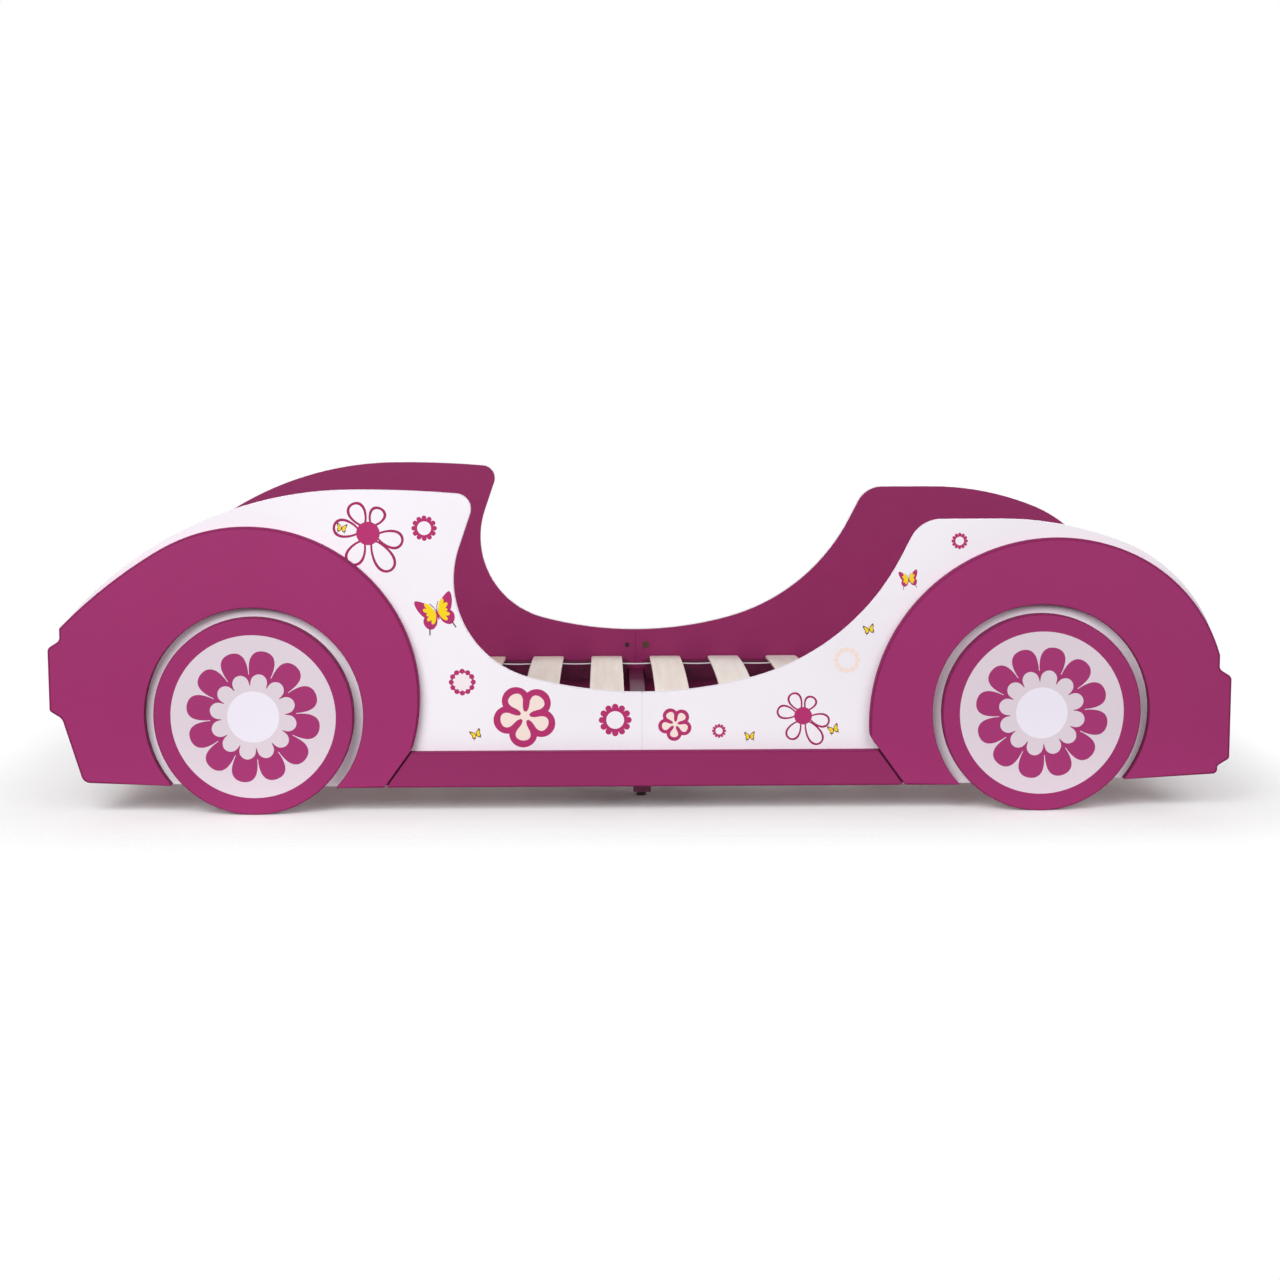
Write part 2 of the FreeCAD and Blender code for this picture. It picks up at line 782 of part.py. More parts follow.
def slat_underside(y):
    """Height of a slat's underside at a distance from the bed's middle."""
    return SLAT_SEAT + D["slat_rise"] - SLAT_RADIUS + leg(SLAT_RADIUS, y)


def slat(number):
    """One sprung slat, bowed upwards across the bed."""
    body = new_body(f"slat_{number:02d}")
    draw = Outline(body, "SlatProfile", "YZ_Plane")
    low = SLAT_SEAT
    high = SLAT_SEAT + D["slat_thickness"]
    draw.start((-HALF_SLAT, low))
    draw.arc((ZERO, low + D["slat_rise"]), (HALF_SLAT, low))
    draw.line((HALF_SLAT, high))
    draw.arc((ZERO, high + D["slat_rise"]), (-HALF_SLAT, high))
    draw.line((-HALF_SLAT, low), closing=True)
    pad(body, draw, D["slat_width"])
    steps = number - (SLAT_COUNT + 1) / 2
    place(body, SLAT_PITCH * steps - D["slat_width"] / 2, ZERO, ZERO)
    doc.recompute()
    return body


for number in range(1, SLAT_COUNT + 1):
    keep(slat(number), f"slat_{number:02d}")

TAPE_LENGTH = SLAT_PITCH * (SLAT_COUNT - 1) + D["slat_width"] - D["tape_end_margin"] * 2
TAPE_OUTER = HALF_SLAT - D["tape_inset"]
TAPE_INNER = TAPE_OUTER - D["tape_width"]


def tape(side, side_sign):
    """A woven tape under the slats near their ends."""
    body = new_body(f"{side}_slat_tape")
    draw = Outline(body, "TapeSection", "YZ_Plane")
    top_outer = slat_underside(TAPE_OUTER) - D["tape_clearance"]
    top_inner = slat_underside(TAPE_INNER) - D["tape_clearance"]
    outer = signed(side_sign, TAPE_OUTER)
    inner = signed(side_sign, TAPE_INNER)
    draw.start((outer, top_outer))
    draw.line((inner, top_inner))
    draw.line((inner, top_inner - D["tape_thickness"]))
    draw.line((outer, top_outer - D["tape_thickness"]))
    draw.line((outer, top_outer), closing=True)
    pad(body, draw, TAPE_LENGTH)
    place(body, -(TAPE_LENGTH / 2), ZERO, ZERO)
    doc.recompute()
    return body


staples = []
for side, side_sign in SIDES:
    keep(tape(side, side_sign), f"{side}_slat_tape")
    centre = TAPE_INNER + D["tape_width"] / 2
    tape_bottom = slat_underside(centre) - D["tape_clearance"] * 2 - D["tape_thickness"]
    for number in range(1, SLAT_COUNT + 1):
        steps = number - (SLAT_COUNT + 1) / 2
        x = SLAT_PITCH * steps - D["staple_length"] / 2
        y = signed(side_sign, centre) - D["staple_width"] / 2
        z = tape_bottom - D["staple_thickness"]
        staples.append(block(x, y, z, D["staple_length"], D["staple_width"], D["staple_thickness"]))
keep(group(staples), "tape_staples")

# Fittings as nodes: the bolts pass into the cam locks and barrel nuts
bolt_bores = seam_bolts.bores() + board_bolts.bores()
keep(drill(group(cams.rods), bolt_bores), "cam_locks")
keep(drill(group(barrels.rods), seam_bolts.bores()), "barrel_nuts")
keep(group(seam_bolts.rods), "seam_bolts")
keep(group(board_bolts.rods), "end_board_bolts")
keep(group(dowels.rods), "dowels")

# Check the document and write the pieces
doc.recompute()
for item in doc.Objects:
    if "Invalid" in item.State or "Error" in item.State:
        raise RuntimeError(f"{item.Label} failed: {item.State}")
for piece in pieces:
    if piece.Shape.isNull() or not piece.Shape.isValid():
        raise RuntimeError(f"{piece.Label} has no valid shape")
os.makedirs("parts", exist_ok=True)
for piece in pieces:
    piece.Shape.exportStep(os.path.join("parts", f"{piece.Label}.step"))
    print(piece.Label, len(piece.Shape.Solids), round(piece.Shape.Volume))
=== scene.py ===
"""Dress the car-shaped kids bed: lacquered boards, flower prints, birch slats, tapes and fittings."""

import functools
import logging
import math
from abc import ABC, abstractmethod
from collections.abc import Sequence
from dataclasses import dataclass, field
from enum import Enum

import bpy
from mathutils import Matrix, Vector
from mathutils.geometry import delaunay_2d_cdt


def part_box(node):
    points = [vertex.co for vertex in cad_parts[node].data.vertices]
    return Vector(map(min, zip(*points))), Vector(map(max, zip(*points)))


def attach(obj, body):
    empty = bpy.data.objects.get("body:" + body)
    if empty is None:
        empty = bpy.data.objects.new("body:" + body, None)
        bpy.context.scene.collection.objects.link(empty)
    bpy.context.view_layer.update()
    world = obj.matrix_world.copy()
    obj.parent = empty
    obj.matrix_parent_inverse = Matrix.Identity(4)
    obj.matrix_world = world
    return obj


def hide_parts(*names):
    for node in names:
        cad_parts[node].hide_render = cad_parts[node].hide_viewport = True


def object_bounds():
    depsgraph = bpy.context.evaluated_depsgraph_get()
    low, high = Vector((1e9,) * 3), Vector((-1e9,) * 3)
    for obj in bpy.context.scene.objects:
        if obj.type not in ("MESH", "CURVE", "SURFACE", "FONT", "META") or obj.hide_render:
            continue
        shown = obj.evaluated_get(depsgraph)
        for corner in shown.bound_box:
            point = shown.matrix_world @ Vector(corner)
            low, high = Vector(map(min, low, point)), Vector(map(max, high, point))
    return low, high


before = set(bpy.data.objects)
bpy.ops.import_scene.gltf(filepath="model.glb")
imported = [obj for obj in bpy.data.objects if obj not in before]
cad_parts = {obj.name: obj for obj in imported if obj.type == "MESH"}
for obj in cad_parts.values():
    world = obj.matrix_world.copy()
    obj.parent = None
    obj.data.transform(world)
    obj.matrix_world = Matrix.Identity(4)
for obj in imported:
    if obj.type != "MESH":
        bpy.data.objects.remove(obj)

CAD_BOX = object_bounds()
LOG = logging.getLogger("kids_bed")

Spot = tuple[float, float]
Triple = tuple[float, float, float]
Outline = list[Spot]
Box = tuple[Vector, Vector]
Socket = bpy.types.NodeSocket

MM = 0.001
WELD = 1e-6
FLAT = 1e-5
TILE_WELD = 1e-5
FILLED_INSIDE = 1
CIRCLE_STEPS = 64
RING_STEPS = 48
TURNED_STEPS = 32
CORNER_STEPS = 5
ROUND_STEPS = 4
SHARP_TURN = math.radians(25)
CORNER_SHARE = 0.45
NOISE_SPAN = (0.3, 0.7)
WAVE_SCALE = math.pi / 10


@functools.cache
def packed_box(node: str) -> Box:
    """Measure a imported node, once."""
    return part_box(node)


class Place(Enum):
    """A place on the bed that node names hold."""

    @property
    def word(self) -> str:
        """The place as node names write it."""
        return self.name.lower()


class Side(Place):
    """A long side of the bed, with the sign of its Y."""

    RIGHT = -1
    LEFT = 1

    def inner_level(self, node: str) -> float:
        """Find the level of a node's face that looks to the middle of the bed."""
        low, high = packed_box(node)
        return low.y if self is Side.LEFT else high.y


class End(Place):
    """An end of the bed, with the sign of its X."""

    HEAD = -1
    FOOT = 1


class Body(Enum):
    """A body that pieces ride on."""

    FRAME = "bed_frame"
    BASE = "slatted_base"


class Slot(Enum):
    """A material slot of the record."""

    WHITE = "white_lacquer"
    MAGENTA = "magenta_lacquer"
    BIRCH = "birch_slat"
    TAPE = "woven_tape"
    PLASTIC = "foot_plastic"
    STEEL = "fitting_steel"
    ZINC = "cam_zinc"
    BEECH = "beech_dowel"


# Flat geometry


def full_turn(steps: int) -> list[float]:
    """List angles evenly round a full turn, in radians."""
    return [math.tau * step / steps for step in range(steps)]


def circle(radius: float, centre: Spot = (0.0, 0.0), steps: int = CIRCLE_STEPS) -> Outline:
    """Draw a circle.

    Args:
        radius: Its radius.
        centre: Its centre.
        steps: How many points it has.

    Returns:
        The outline, anticlockwise.
    """
    return ellipse(radius, radius, centre, steps)


def ellipse(along: float, across: float, centre: Spot, steps: int, fuller: float = 0.0) -> Outline:
    """Draw an ellipse or an egg.

    Args:
        along: Half its size in the first direction.
        across: Half its size in the second direction.
        centre: Its centre.
        steps: How many points it has.
        fuller: How much fuller its far end is, as a share.

    Returns:
        The outline, anticlockwise.
    """
    return [
        (
            centre[0] + along * math.cos(turn),
            centre[1] + across * math.sin(turn) * (1 + fuller * math.cos(turn)),
        )
        for turn in full_turn(steps)
    ]


def teardrop(length: float, width: float, steps: int) -> Outline:
    """Draw a petal with its point at the origin and its round tip along the first direction.

    Args:
        length: From point to tip.
        width: At the widest.
        steps: How many points it has.

    Returns:
        The outline, anticlockwise.
    """
    widest_share = 4 / (3 * math.sqrt(3))
    return [
        (
            length * (1 - math.cos(turn)) / 2,
            -width / 2 * math.sin(turn) * abs(math.sin(turn / 2)) / widest_share,
        )
        for turn in full_turn(steps)
    ]


def strip(spots: Sequence[Spot], width: float) -> Outline:
    """Draw a thin band along an open line.

    Args:
        spots: The line's points.
        width: The band's width.

    Returns:
        The band's outline.
    """
    near: Outline = []
    far: Outline = []
    for index, (u, v) in enumerate(spots):
        before = spots[max(index - 1, 0)]
        after = spots[min(index + 1, len(spots) - 1)]
        run = math.dist(before, after)
        across = (-(after[1] - before[1]) / run * width / 2, (after[0] - before[0]) / run * width / 2)
        near.append((u - across[0], v - across[1]))
        far.append((u + across[0], v + across[1]))
    return near + far[::-1]


def curved(spots: Sequence[Spot], steps: int = 6) -> Outline:
    """Pass a smooth closed curve through a few points.

    Args:
        spots: The points, in order.
        steps: How many pieces each stretch has.

    Returns:
        The curve's outline.
    """
    drawn: Outline = []
    count = len(spots)
    for index in range(count):
        a, b, c, d = (spots[(index + step) % count] for step in (-1, 0, 1, 2))
        for step in range(steps):
            t = step / steps
            drawn.append(tuple(
                0.5 * (2 * b[k] + (c[k] - a[k]) * t + (2 * a[k] - 5 * b[k] + 4 * c[k] - d[k]) * t**2
                       + (3 * b[k] - a[k] - 3 * c[k] + d[k]) * t**3)
                for k in (0, 1)
            ))
    return drawn


def petal_shape(shares: Sequence[Spot]) -> Outline:
    """Draw a petal along the first direction from its half widths at a few distances from the heart."""
    return curved([(u, -v) for u, v in shares] + list(reversed(shares)))


def placed(outline: Sequence[Spot], at: Spot = (0.0, 0.0), turn: float = 0.0, scale: float = 1.0) -> Outline:
    """Scale, turn and shift an outline.

    Args:
        outline: What to place.
        at: Where its origin goes.
        turn: How far it turns, in degrees, anticlockwise.
        scale: How much larger it gets.

    Returns:
        The outline in its place.
    """
    c = math.cos(math.radians(turn)) * scale
    s = math.sin(math.radians(turn)) * scale
    return [(at[0] + u * c - v * s, at[1] + u * s + v * c) for u, v in outline]


def whorl(petal: Sequence[Spot], count: int, first_turn: float = 0.0) -> list[Outline]:
    """Repeat a petal evenly round the origin.

    Args:
        petal: The first petal, along the first direction.
        count: How many petals there are.
        first_turn: How far the first one turns, in degrees.

    Returns:
        The petals' outlines.
    """
    return [placed(petal, turn=first_turn + 360 / count * number) for number in range(count)]


def signed_area(outline: Sequence[Spot]) -> float:
    """Measure an outline's area, positive where it runs anticlockwise."""
    following = [*outline[1:], outline[0]]
    return sum(a[0] * b[1] - b[0] * a[1] for a, b in zip(outline, following)) / 2


def anticlockwise(outline: Sequence[Spot]) -> Outline:
    """Give an outline its anticlockwise order."""
    return list(outline) if signed_area(outline) > 0 else list(outline)[::-1]


def box_of(outline: Sequence[Spot]) -> tuple[Spot, Spot]:
    """Find an outline's lowest and highest corner."""
    us, vs = zip(*outline)
    return (min(us), min(vs)), (max(us), max(vs))


def corner_turn(before: Spot, spot: Spot, after: Spot) -> float:
    """Measure how far a line turns at a point, in radians.

    Args:
        before: The point before it.
        spot: The point.
        after: The point after it.

    Returns:
        The turn, from 0 for straight on.
    """
    into = math.atan2(spot[1] - before[1], spot[0] - before[0])
    out = math.atan2(after[1] - spot[1], after[0] - spot[0])
    return abs((out - into + math.pi) % math.tau - math.pi)


def rounded(outline: Sequence[Spot], radius: float) -> Outline:
    """Round the sharp corners of an outline.

    Args:
        outline: An anticlockwise outline.
        radius: The corners' radius.

    Returns:
        The outline with small arcs for corners.
    """
    drawn: Outline = []
    count = len(outline)
    for index, spot in enumerate(outline):
        before = outline[index - 1]
        after = outline[(index + 1) % count]
        turn = corner_turn(before, spot, after)
        if turn < SHARP_TURN:
            drawn.append(spot)
            continue
        reach = radius * math.tan(turn / 2)
        ends = []
        for other in (before, after):
            share = min(reach / math.dist(spot, other), CORNER_SHARE)
            ends.append((spot[0] + (other[0] - spot[0]) * share, spot[1] + (other[1] - spot[1]) * share))
        for step in range(CORNER_STEPS + 1):
            t = step / CORNER_STEPS
            weights = ((1 - t) ** 2, 2 * t * (1 - t), t**2)
            knots = (ends[0], spot, ends[1])
            drawn.append(tuple(sum(w * knot[k] for w, knot in zip(weights, knots)) for k in (0, 1)))
    return drawn


def outward(outline: Sequence[Spot]) -> list[Spot]:
    """Find the direction square to an outline at each point, longer runs counting more.

    Args:
        outline: An anticlockwise outline.

    Returns:
        The unit directions, outwards.
    """
    count = len(outline)
    found = []
    for index in range(count):
        before = outline[index - 1]
        after = outline[(index + 1) % count]
        run = math.dist(before, after)
        found.append(((after[1] - before[1]) / run, -(after[0] - before[0]) / run))
    return found


# Finishes


@dataclass(frozen=True)
class Tint:
    """A colour as a display shows it, each part from 0 to 255."""

    red: float
    green: float
    blue: float

    def linear(self, gain: float = 1.0) -> tuple[float, float, float, float]:
        """Turn the tint into the numbers that a shader takes.

        Args:
            gain: How much brighter it gets.

        Returns:
            Linear red, green and blue, and full cover.
        """
        # Undo the display's standard transfer curve
        parts = []
        for part in (self.red, self.green, self.blue):
            share = part / 255
            plain = share / 12.92 if share <= 0.04045 else ((share + 0.055) / 1.055) ** 2.4
            parts.append(min(plain * gain, 1.0))
        return (*parts, 1.0)


class Recipe:
    """A material in the making, with its surface shader."""

    MIX_INPUTS = (6, 7)
    MIX_OUTPUT = 2

    def __init__(self, name: str) -> None:
        """Start a material.

        Args:
            name: The material's name.
        """
        self.material = bpy.data.materials.new(name)
        self.material.use_nodes = True
        self.nodes = self.material.node_tree.nodes
        self.shader = self.nodes["Principled BSDF"]

    def link(self, source: Socket, target: Socket) -> None:
        """Join an output to an input."""
        self.material.node_tree.links.new(source, target)

    def set(self, **values: float) -> None:
        """Set inputs of the surface shader, with spaces written as underscores."""
        for name, value in values.items():
            self.shader.inputs[name.replace("_", " ").title().replace("Ior", "IOR")].default_value = value

    def place(self, stretch: Sequence[float] = (1, 1, 1), uv: bool = False) -> Socket:
        """Add the piece's own coordinates.

        Args:
            stretch: Scale in each direction.
            uv: Whether the surface marks are read in place of the frame's axes.

        Returns:
            The socket that gives the place.
        """
        spots = self.nodes.new("ShaderNodeTexCoord")
        mapping = self.nodes.new("ShaderNodeMapping")
        mapping.inputs["Scale"].default_value = stretch
        self.link(spots.outputs["UV" if uv else "Object"], mapping.inputs["Vector"])
        return mapping.outputs["Vector"]

    def noise(self, scale: float = 1.0, detail: float = 2.0, stretch: Sequence[float] = (1, 1, 1)) -> Socket:
        """Add soft noise.

        Args:
            scale: How many cells a metre holds.
            detail: How many finer layers it has.
            stretch: Scale in each direction.

        Returns:
            The socket that gives it, about 0.5 in the middle.
        """
        texture = self.nodes.new("ShaderNodeTexNoise")
        texture.inputs["Scale"].default_value = scale
        texture.inputs["Detail"].default_value = detail
        self.link(self.place(stretch), texture.inputs["Vector"])
        return texture.outputs["Fac"]

    def bands(self, count: float, direction: str) -> Socket:
        """Add regular bands, placed by the surface marks.

        Args:
            count: How many bands one unit of the marks holds.
            direction: The axis that the bands are counted along.

        Returns:
            The socket that gives them, from 0 to 1.
        """
        texture = self.nodes.new("ShaderNodeTexWave")
        texture.bands_direction = direction
        texture.inputs["Scale"].default_value = count * WAVE_SCALE
        self.link(self.place(uv=True), texture.inputs["Vector"])
        return texture.outputs["Fac"]

    def ranged(self, source: Socket, span: Spot = NOISE_SPAN, result: Spot = (0.0, 1.0)) -> Socket:
        """Stretch a value from one span to another.

        Args:
            source: The value.
            span: Its lowest and highest number.
            result: What these become.

        Returns:
            The socket that gives the new value.
        """
        node = self.nodes.new("ShaderNodeMapRange")
        numbers = (*span, *result)
        for name, number in zip(("From Min", "From Max", "To Min", "To Max"), numbers):
            node.inputs[name].default_value = number
        self.link(source, node.inputs["Value"])
        return node.outputs["Result"]

    def mixed(
        self, factor: Socket, low: Sequence[float] | Socket, high: Sequence[float] | Socket
    ) -> Socket:
        """Blend two colours.

        Args:
            factor: 0 for the first colour, 1 for the second.
            low: The first colour or what gives it.
            high: The second colour or what gives it.

        Returns:
            The socket that gives the blend.
        """
        node = self.nodes.new("ShaderNodeMix")
        node.data_type = "RGBA"
        self.link(factor, node.inputs[0])
        for index, colour in zip(self.MIX_INPUTS, (low, high)):
            if isinstance(colour, Socket):
                self.link(colour, node.inputs[index])
            else:
                node.inputs[index].default_value = colour
        return node.outputs[self.MIX_OUTPUT]

    def worked(self, kind: str, operation: str, *sources: Socket) -> bpy.types.Node:
        """Add a node that works out one value from others.

        Args:
            kind: The node's kind.
            operation: What it does.
            sources: The values, in the order of its inputs.

        Returns:
            The node.
        """
        node = self.nodes.new(kind)
        node.operation = operation
        for index, source in enumerate(sources):
            self.link(source, node.inputs[index])
        return node

    def paint(self, colour: Socket) -> None:
        """Give the surface its colour."""
        self.link(colour, self.shader.inputs["Base Color"])

    def dull(self, source: Socket, roughness: float, below: float, above: float) -> None:
        """Let the roughness vary with a noise.

        Args:
            source: The noise.
            roughness: The usual roughness.
            below: How much smoother the smoothest spots are.
            above: How much rougher the roughest spots are.
        """
        varied = self.ranged(source, result=(roughness - below, roughness + above))
        self.link(varied, self.shader.inputs["Roughness"])

    def bump(self, height: Socket, strength: float, depth: float) -> None:
        """Roughen the surface.

        Args:
            height: What gives the height.
            strength: How much of it shows.
            depth: The height of a full step, in metres.
        """
        node = self.nodes.new("ShaderNodeBump")
        node.inputs["Strength"].default_value = strength
        node.inputs["Distance"].default_value = depth
        self.link(height, node.inputs["Height"])
        self.link(node.outputs["Normal"], self.shader.inputs["Normal"])


@dataclass(frozen=True)
class Finish(ABC):
    """How a surface looks."""

    name: str

    @abstractmethod
    def mix(self, recipe: Recipe) -> None:
        """Fill in a recipe."""

    @functools.cache
    def material(self) -> bpy.types.Material:
        """Make the material, once."""
        recipe = Recipe(self.name)
        self.mix(recipe)
        return recipe.material


@dataclass(frozen=True)
class Lacquer(Finish):
    """Sprayed satin lacquer with a faint orange peel and a little unevenness."""

    tint: Tint
    roughness: float = 0.36
    unevenness: float = 0.025
    gloss: float = 0.3
    cloud_scale: float = 3.5
    haze_scale: float = 45.0
    peel_scale: float = 520.0

    def mix(self, recipe: Recipe) -> None:
        """Fill in a recipe.

        Args:
            recipe: The recipe of this finish's material.
        """
        cloud = recipe.noise(self.cloud_scale, detail=3.0)
        low = self.tint.linear(1 - self.unevenness)
        high = self.tint.linear(1 + self.unevenness)
        recipe.paint(recipe.mixed(recipe.ranged(cloud), low, high))
        haze = recipe.noise(self.haze_scale, detail=3.0)
        recipe.dull(haze, self.roughness, below=0.03, above=0.05)
        recipe.set(specular_ior_level=self.gloss)
        recipe.bump(recipe.noise(self.peel_scale, detail=1.0), strength=0.12, depth=0.4 * MM)


@dataclass(frozen=True)
class Ink(Lacquer):
    """Printed ink under clear satin lacquer."""

    roughness: float = 0.32


@dataclass(frozen=True)
class Timber(Finish):
    """Bare sanded wood with its grain along Y."""

    pale: Tint
    dark: Tint
    roughness: float = 0.55
    figure_stretch: Triple = (70.0, 3.0, 70.0)
    pore_stretch: Triple = (900.0, 28.0, 900.0)

    def mix(self, recipe: Recipe) -> None:
        """Fill in a recipe.

        Args:
            recipe: The recipe of this finish's material.
        """
        figure = recipe.noise(detail=4.0, stretch=self.figure_stretch)
        pores = recipe.noise(detail=2.0, stretch=self.pore_stretch)
        shade = recipe.ranged(figure, span=(0.32, 0.68))
        board = recipe.mixed(shade, self.pale.linear(), self.dark.linear())
        fleck = recipe.ranged(pores, span=(0.6, 0.72), result=(0.0, 0.35))
        recipe.paint(recipe.mixed(fleck, board, self.dark.linear(gain=0.72)))
        recipe.dull(figure, self.roughness, below=0.05, above=0.08)
        recipe.set(specular_ior_level=0.3)
        recipe.bump(pores, strength=0.25, depth=0.3 * MM)


@dataclass(frozen=True)
class PlyEdge(Finish):
    """The cut edge of laminated veneers, one layer over another."""

    pale: Tint
    dark: Tint
    layers: int = 6
    fibre_stretch: Triple = (300.0, 14.0, 300.0)

    def mix(self, recipe: Recipe) -> None:
        """Fill in a recipe.

        Args:
            recipe: The recipe of this finish's material.
        """
        layer = recipe.ranged(recipe.bands(self.layers / 2, direction="Y"), span=(0.35, 0.65))
        veneers = recipe.mixed(layer, self.pale.linear(), self.dark.linear())
        fibres = recipe.noise(detail=2.0, stretch=self.fibre_stretch)
        shade = recipe.ranged(fibres, span=(0.45, 0.75), result=(0.0, 0.4))
        recipe.paint(recipe.mixed(shade, veneers, self.dark.linear(gain=0.8)))
        recipe.set(roughness=0.65, specular_ior_level=0.25)
        recipe.bump(fibres, strength=0.2, depth=0.3 * MM)


@dataclass(frozen=True)
class Webbing(Finish):
    """Flat woven tape: ribs across it and fine warp threads along it."""

    tint: Tint
    ribs_per_metre: float = 700.0
    threads_per_metre: float = 900.0

    def mix(self, recipe: Recipe) -> None:
        """Fill in a recipe.

        Args:
            recipe: The recipe of this finish's material.
        """
        weft = recipe.bands(self.ribs_per_metre, direction="X")
        warp = recipe.bands(self.threads_per_metre, direction="Y")
        weave_and_shade = recipe.worked("ShaderNodeMath", "MULTIPLY", weft, warp).outputs["Value"]
        # Painted shade: the weave's hollows are darker in colour as well as lower in the bump
        recipe.paint(recipe.mixed(weave_and_shade, self.tint.linear(gain=0.82), self.tint.linear()))
        recipe.set(roughness=0.85, specular_ior_level=0.2, sheen_weight=0.2)
        recipe.bump(weave_and_shade, strength=0.5, depth=0.15 * MM)


@dataclass(frozen=True)
class Metal(Finish):
    """Plated or cast metal with a fine grain."""

    tint: Tint
    roughness: float
    grain: float

    def mix(self, recipe: Recipe) -> None:
        """Fill in a recipe.

        Args:
            recipe: The recipe of this finish's material.
        """
        cast = recipe.noise(self.grain, detail=3.0)
        low = self.tint.linear(gain=0.85)
        high = self.tint.linear(gain=1.1)
        recipe.paint(recipe.mixed(recipe.ranged(cast), low, high))
        recipe.dull(cast, self.roughness, below=0.08, above=0.1)
        recipe.set(metallic=1.0)
        recipe.bump(cast, strength=0.2, depth=0.2 * MM)


@dataclass(frozen=True)
class Plastic(Finish):
    """Moulded matt plastic with a spark-eroded texture."""

    tint: Tint
    roughness: float = 0.55
    spark_scale: float = 1400.0
    scuff_scale: float = 90.0

    def mix(self, recipe: Recipe) -> None:
        """Fill in a recipe.

        Args:
            recipe: The recipe of this finish's material.
        """
        scuffs = recipe.noise(self.scuff_scale, detail=3.0)
        worn = recipe.ranged(scuffs, span=(0.35, 0.7))
        recipe.paint(recipe.mixed(worn, self.tint.linear(), self.tint.linear(gain=1.5)))
        recipe.dull(scuffs, self.roughness, below=0.06, above=0.06)
        recipe.bump(recipe.noise(self.spark_scale, detail=2.0), strength=0.2, depth=0.2 * MM)


class Look:
    """Every finish of the bed."""

    WHITE = Lacquer("white_satin_lacquer", Tint(248, 243, 250))
    # Painted shade: the panels' edges are a greyer white than their faces, to damp the light on their top
    # edges
    WHITE_EDGE = Lacquer("white_edge_lacquer", Tint(235, 227, 236), roughness=0.5)
    MAGENTA = Lacquer("magenta_satin_lacquer", Tint(154, 40, 103))
    # Painted shade: a darker copy of the magenta for the panels' inner faces and bores, the end boards, the
    # seam sides and the sill's face
    INNER_MAGENTA = Lacquer("inner_magenta_lacquer", Tint(140, 35, 92), roughness=0.42)
    # Painted shade: a darker, duller magenta for the rounded edges of fenders, sill and wheels, as a dark
    # line along them
    EDGE_MAGENTA = Lacquer("edge_magenta_lacquer", Tint(132, 32, 86), roughness=0.6, gloss=0.12)
    # Painted shade: a dark plum for the battens under the slats and for the patches behind the sill joints
    PLUM = Lacquer("plum_satin_lacquer", Tint(88, 16, 54))
    PRINT_MAGENTA = Ink("magenta_print", Tint(180, 44, 108))
    PRINT_PEACH = Ink("peach_print", Tint(251, 231, 222))
    PRINT_WINE = Ink("wine_print", Tint(162, 36, 92))
    PRINT_FAINT = Ink("faint_peach_print", Tint(252, 230, 218))
    PRINT_BLUSH = Ink("blush_print", Tint(248, 236, 240))
    PRINT_YELLOW = Ink("yellow_print", Tint(252, 217, 26))
    PRINT_DARK = Ink("dark_print", Tint(96, 48, 62))
    WHEEL_MAGENTA = Ink("wheel_magenta_print", Tint(164, 48, 112))
    WHEEL_PALE = Ink("wheel_pale_print", Tint(228, 214, 224))
    WHEEL_HUB = Ink("wheel_hub_print", Tint(244, 239, 251))
    BIRCHES = (
        Timber("birch_cream", Tint(251, 240, 231), Tint(242, 226, 215)),
        Timber("birch_pale", Tint(253, 245, 238), Tint(245, 232, 222)),
        Timber("birch_rosy", Tint(245, 226, 215), Tint(236, 212, 199)),
    )
    PLY = PlyEdge("birch_ply_edge", Tint(236, 218, 200), Tint(206, 176, 150))
    TAPE = Webbing("white_woven_tape", Tint(246, 244, 245))
    STEEL = Metal("plated_steel", Tint(196, 197, 202), roughness=0.3, grain=260.0)
    # Painted shade: the cam zinc is a dark brown, standing in for the shade in its bores
    ZINC = Metal("cast_zinc", Tint(96, 80, 66), roughness=0.5, grain=420.0)
    DARK_STEEL = Metal("blackened_steel", Tint(66, 58, 60), roughness=0.45, grain=420.0)
    PLASTIC = Plastic("dark_plastic", Tint(44, 34, 38))
    BEECH = Timber("beech", Tint(226, 190, 150), Tint(204, 160, 118))


# Meshes


@dataclass(frozen=True)
class Facing:
    """The direction that a flat face looks in: an axis, 0 for X and 1 for Y, and a sign."""

    axis: int
    sign: float

    @property
    def normal(self) -> Vector:
        """Unit vector of the direction."""
        return Vector((self.sign, 0, 0)) if self.axis == 0 else Vector((0, self.sign, 0))

    def point(self, spot: Spot, level: float) -> Vector:
        """Put a spot of the flat drawing at a level along the axis."""
        return Vector((level, *spot)) if self.axis == 0 else Vector((spot[0], level, spot[1]))

    def tilted(self, edge: Spot, lean: float) -> Vector:
        """Find the normal of a rounded edge.

        Args:
            edge: Direction square to the outline.
            lean: 0 along that direction, a right angle along the face's own.

        Returns:
            The unit normal.
        """
        return self.point(edge, 0.0) * math.cos(lean) + self.normal * math.sin(lean)


def stand(name: str, data: bpy.types.ID) -> bpy.types.Object:
    """Put a mesh, lamp or camera into the scene."""
    made = bpy.data.objects.new(name, data)
    bpy.context.scene.collection.objects.link(made)
    return made


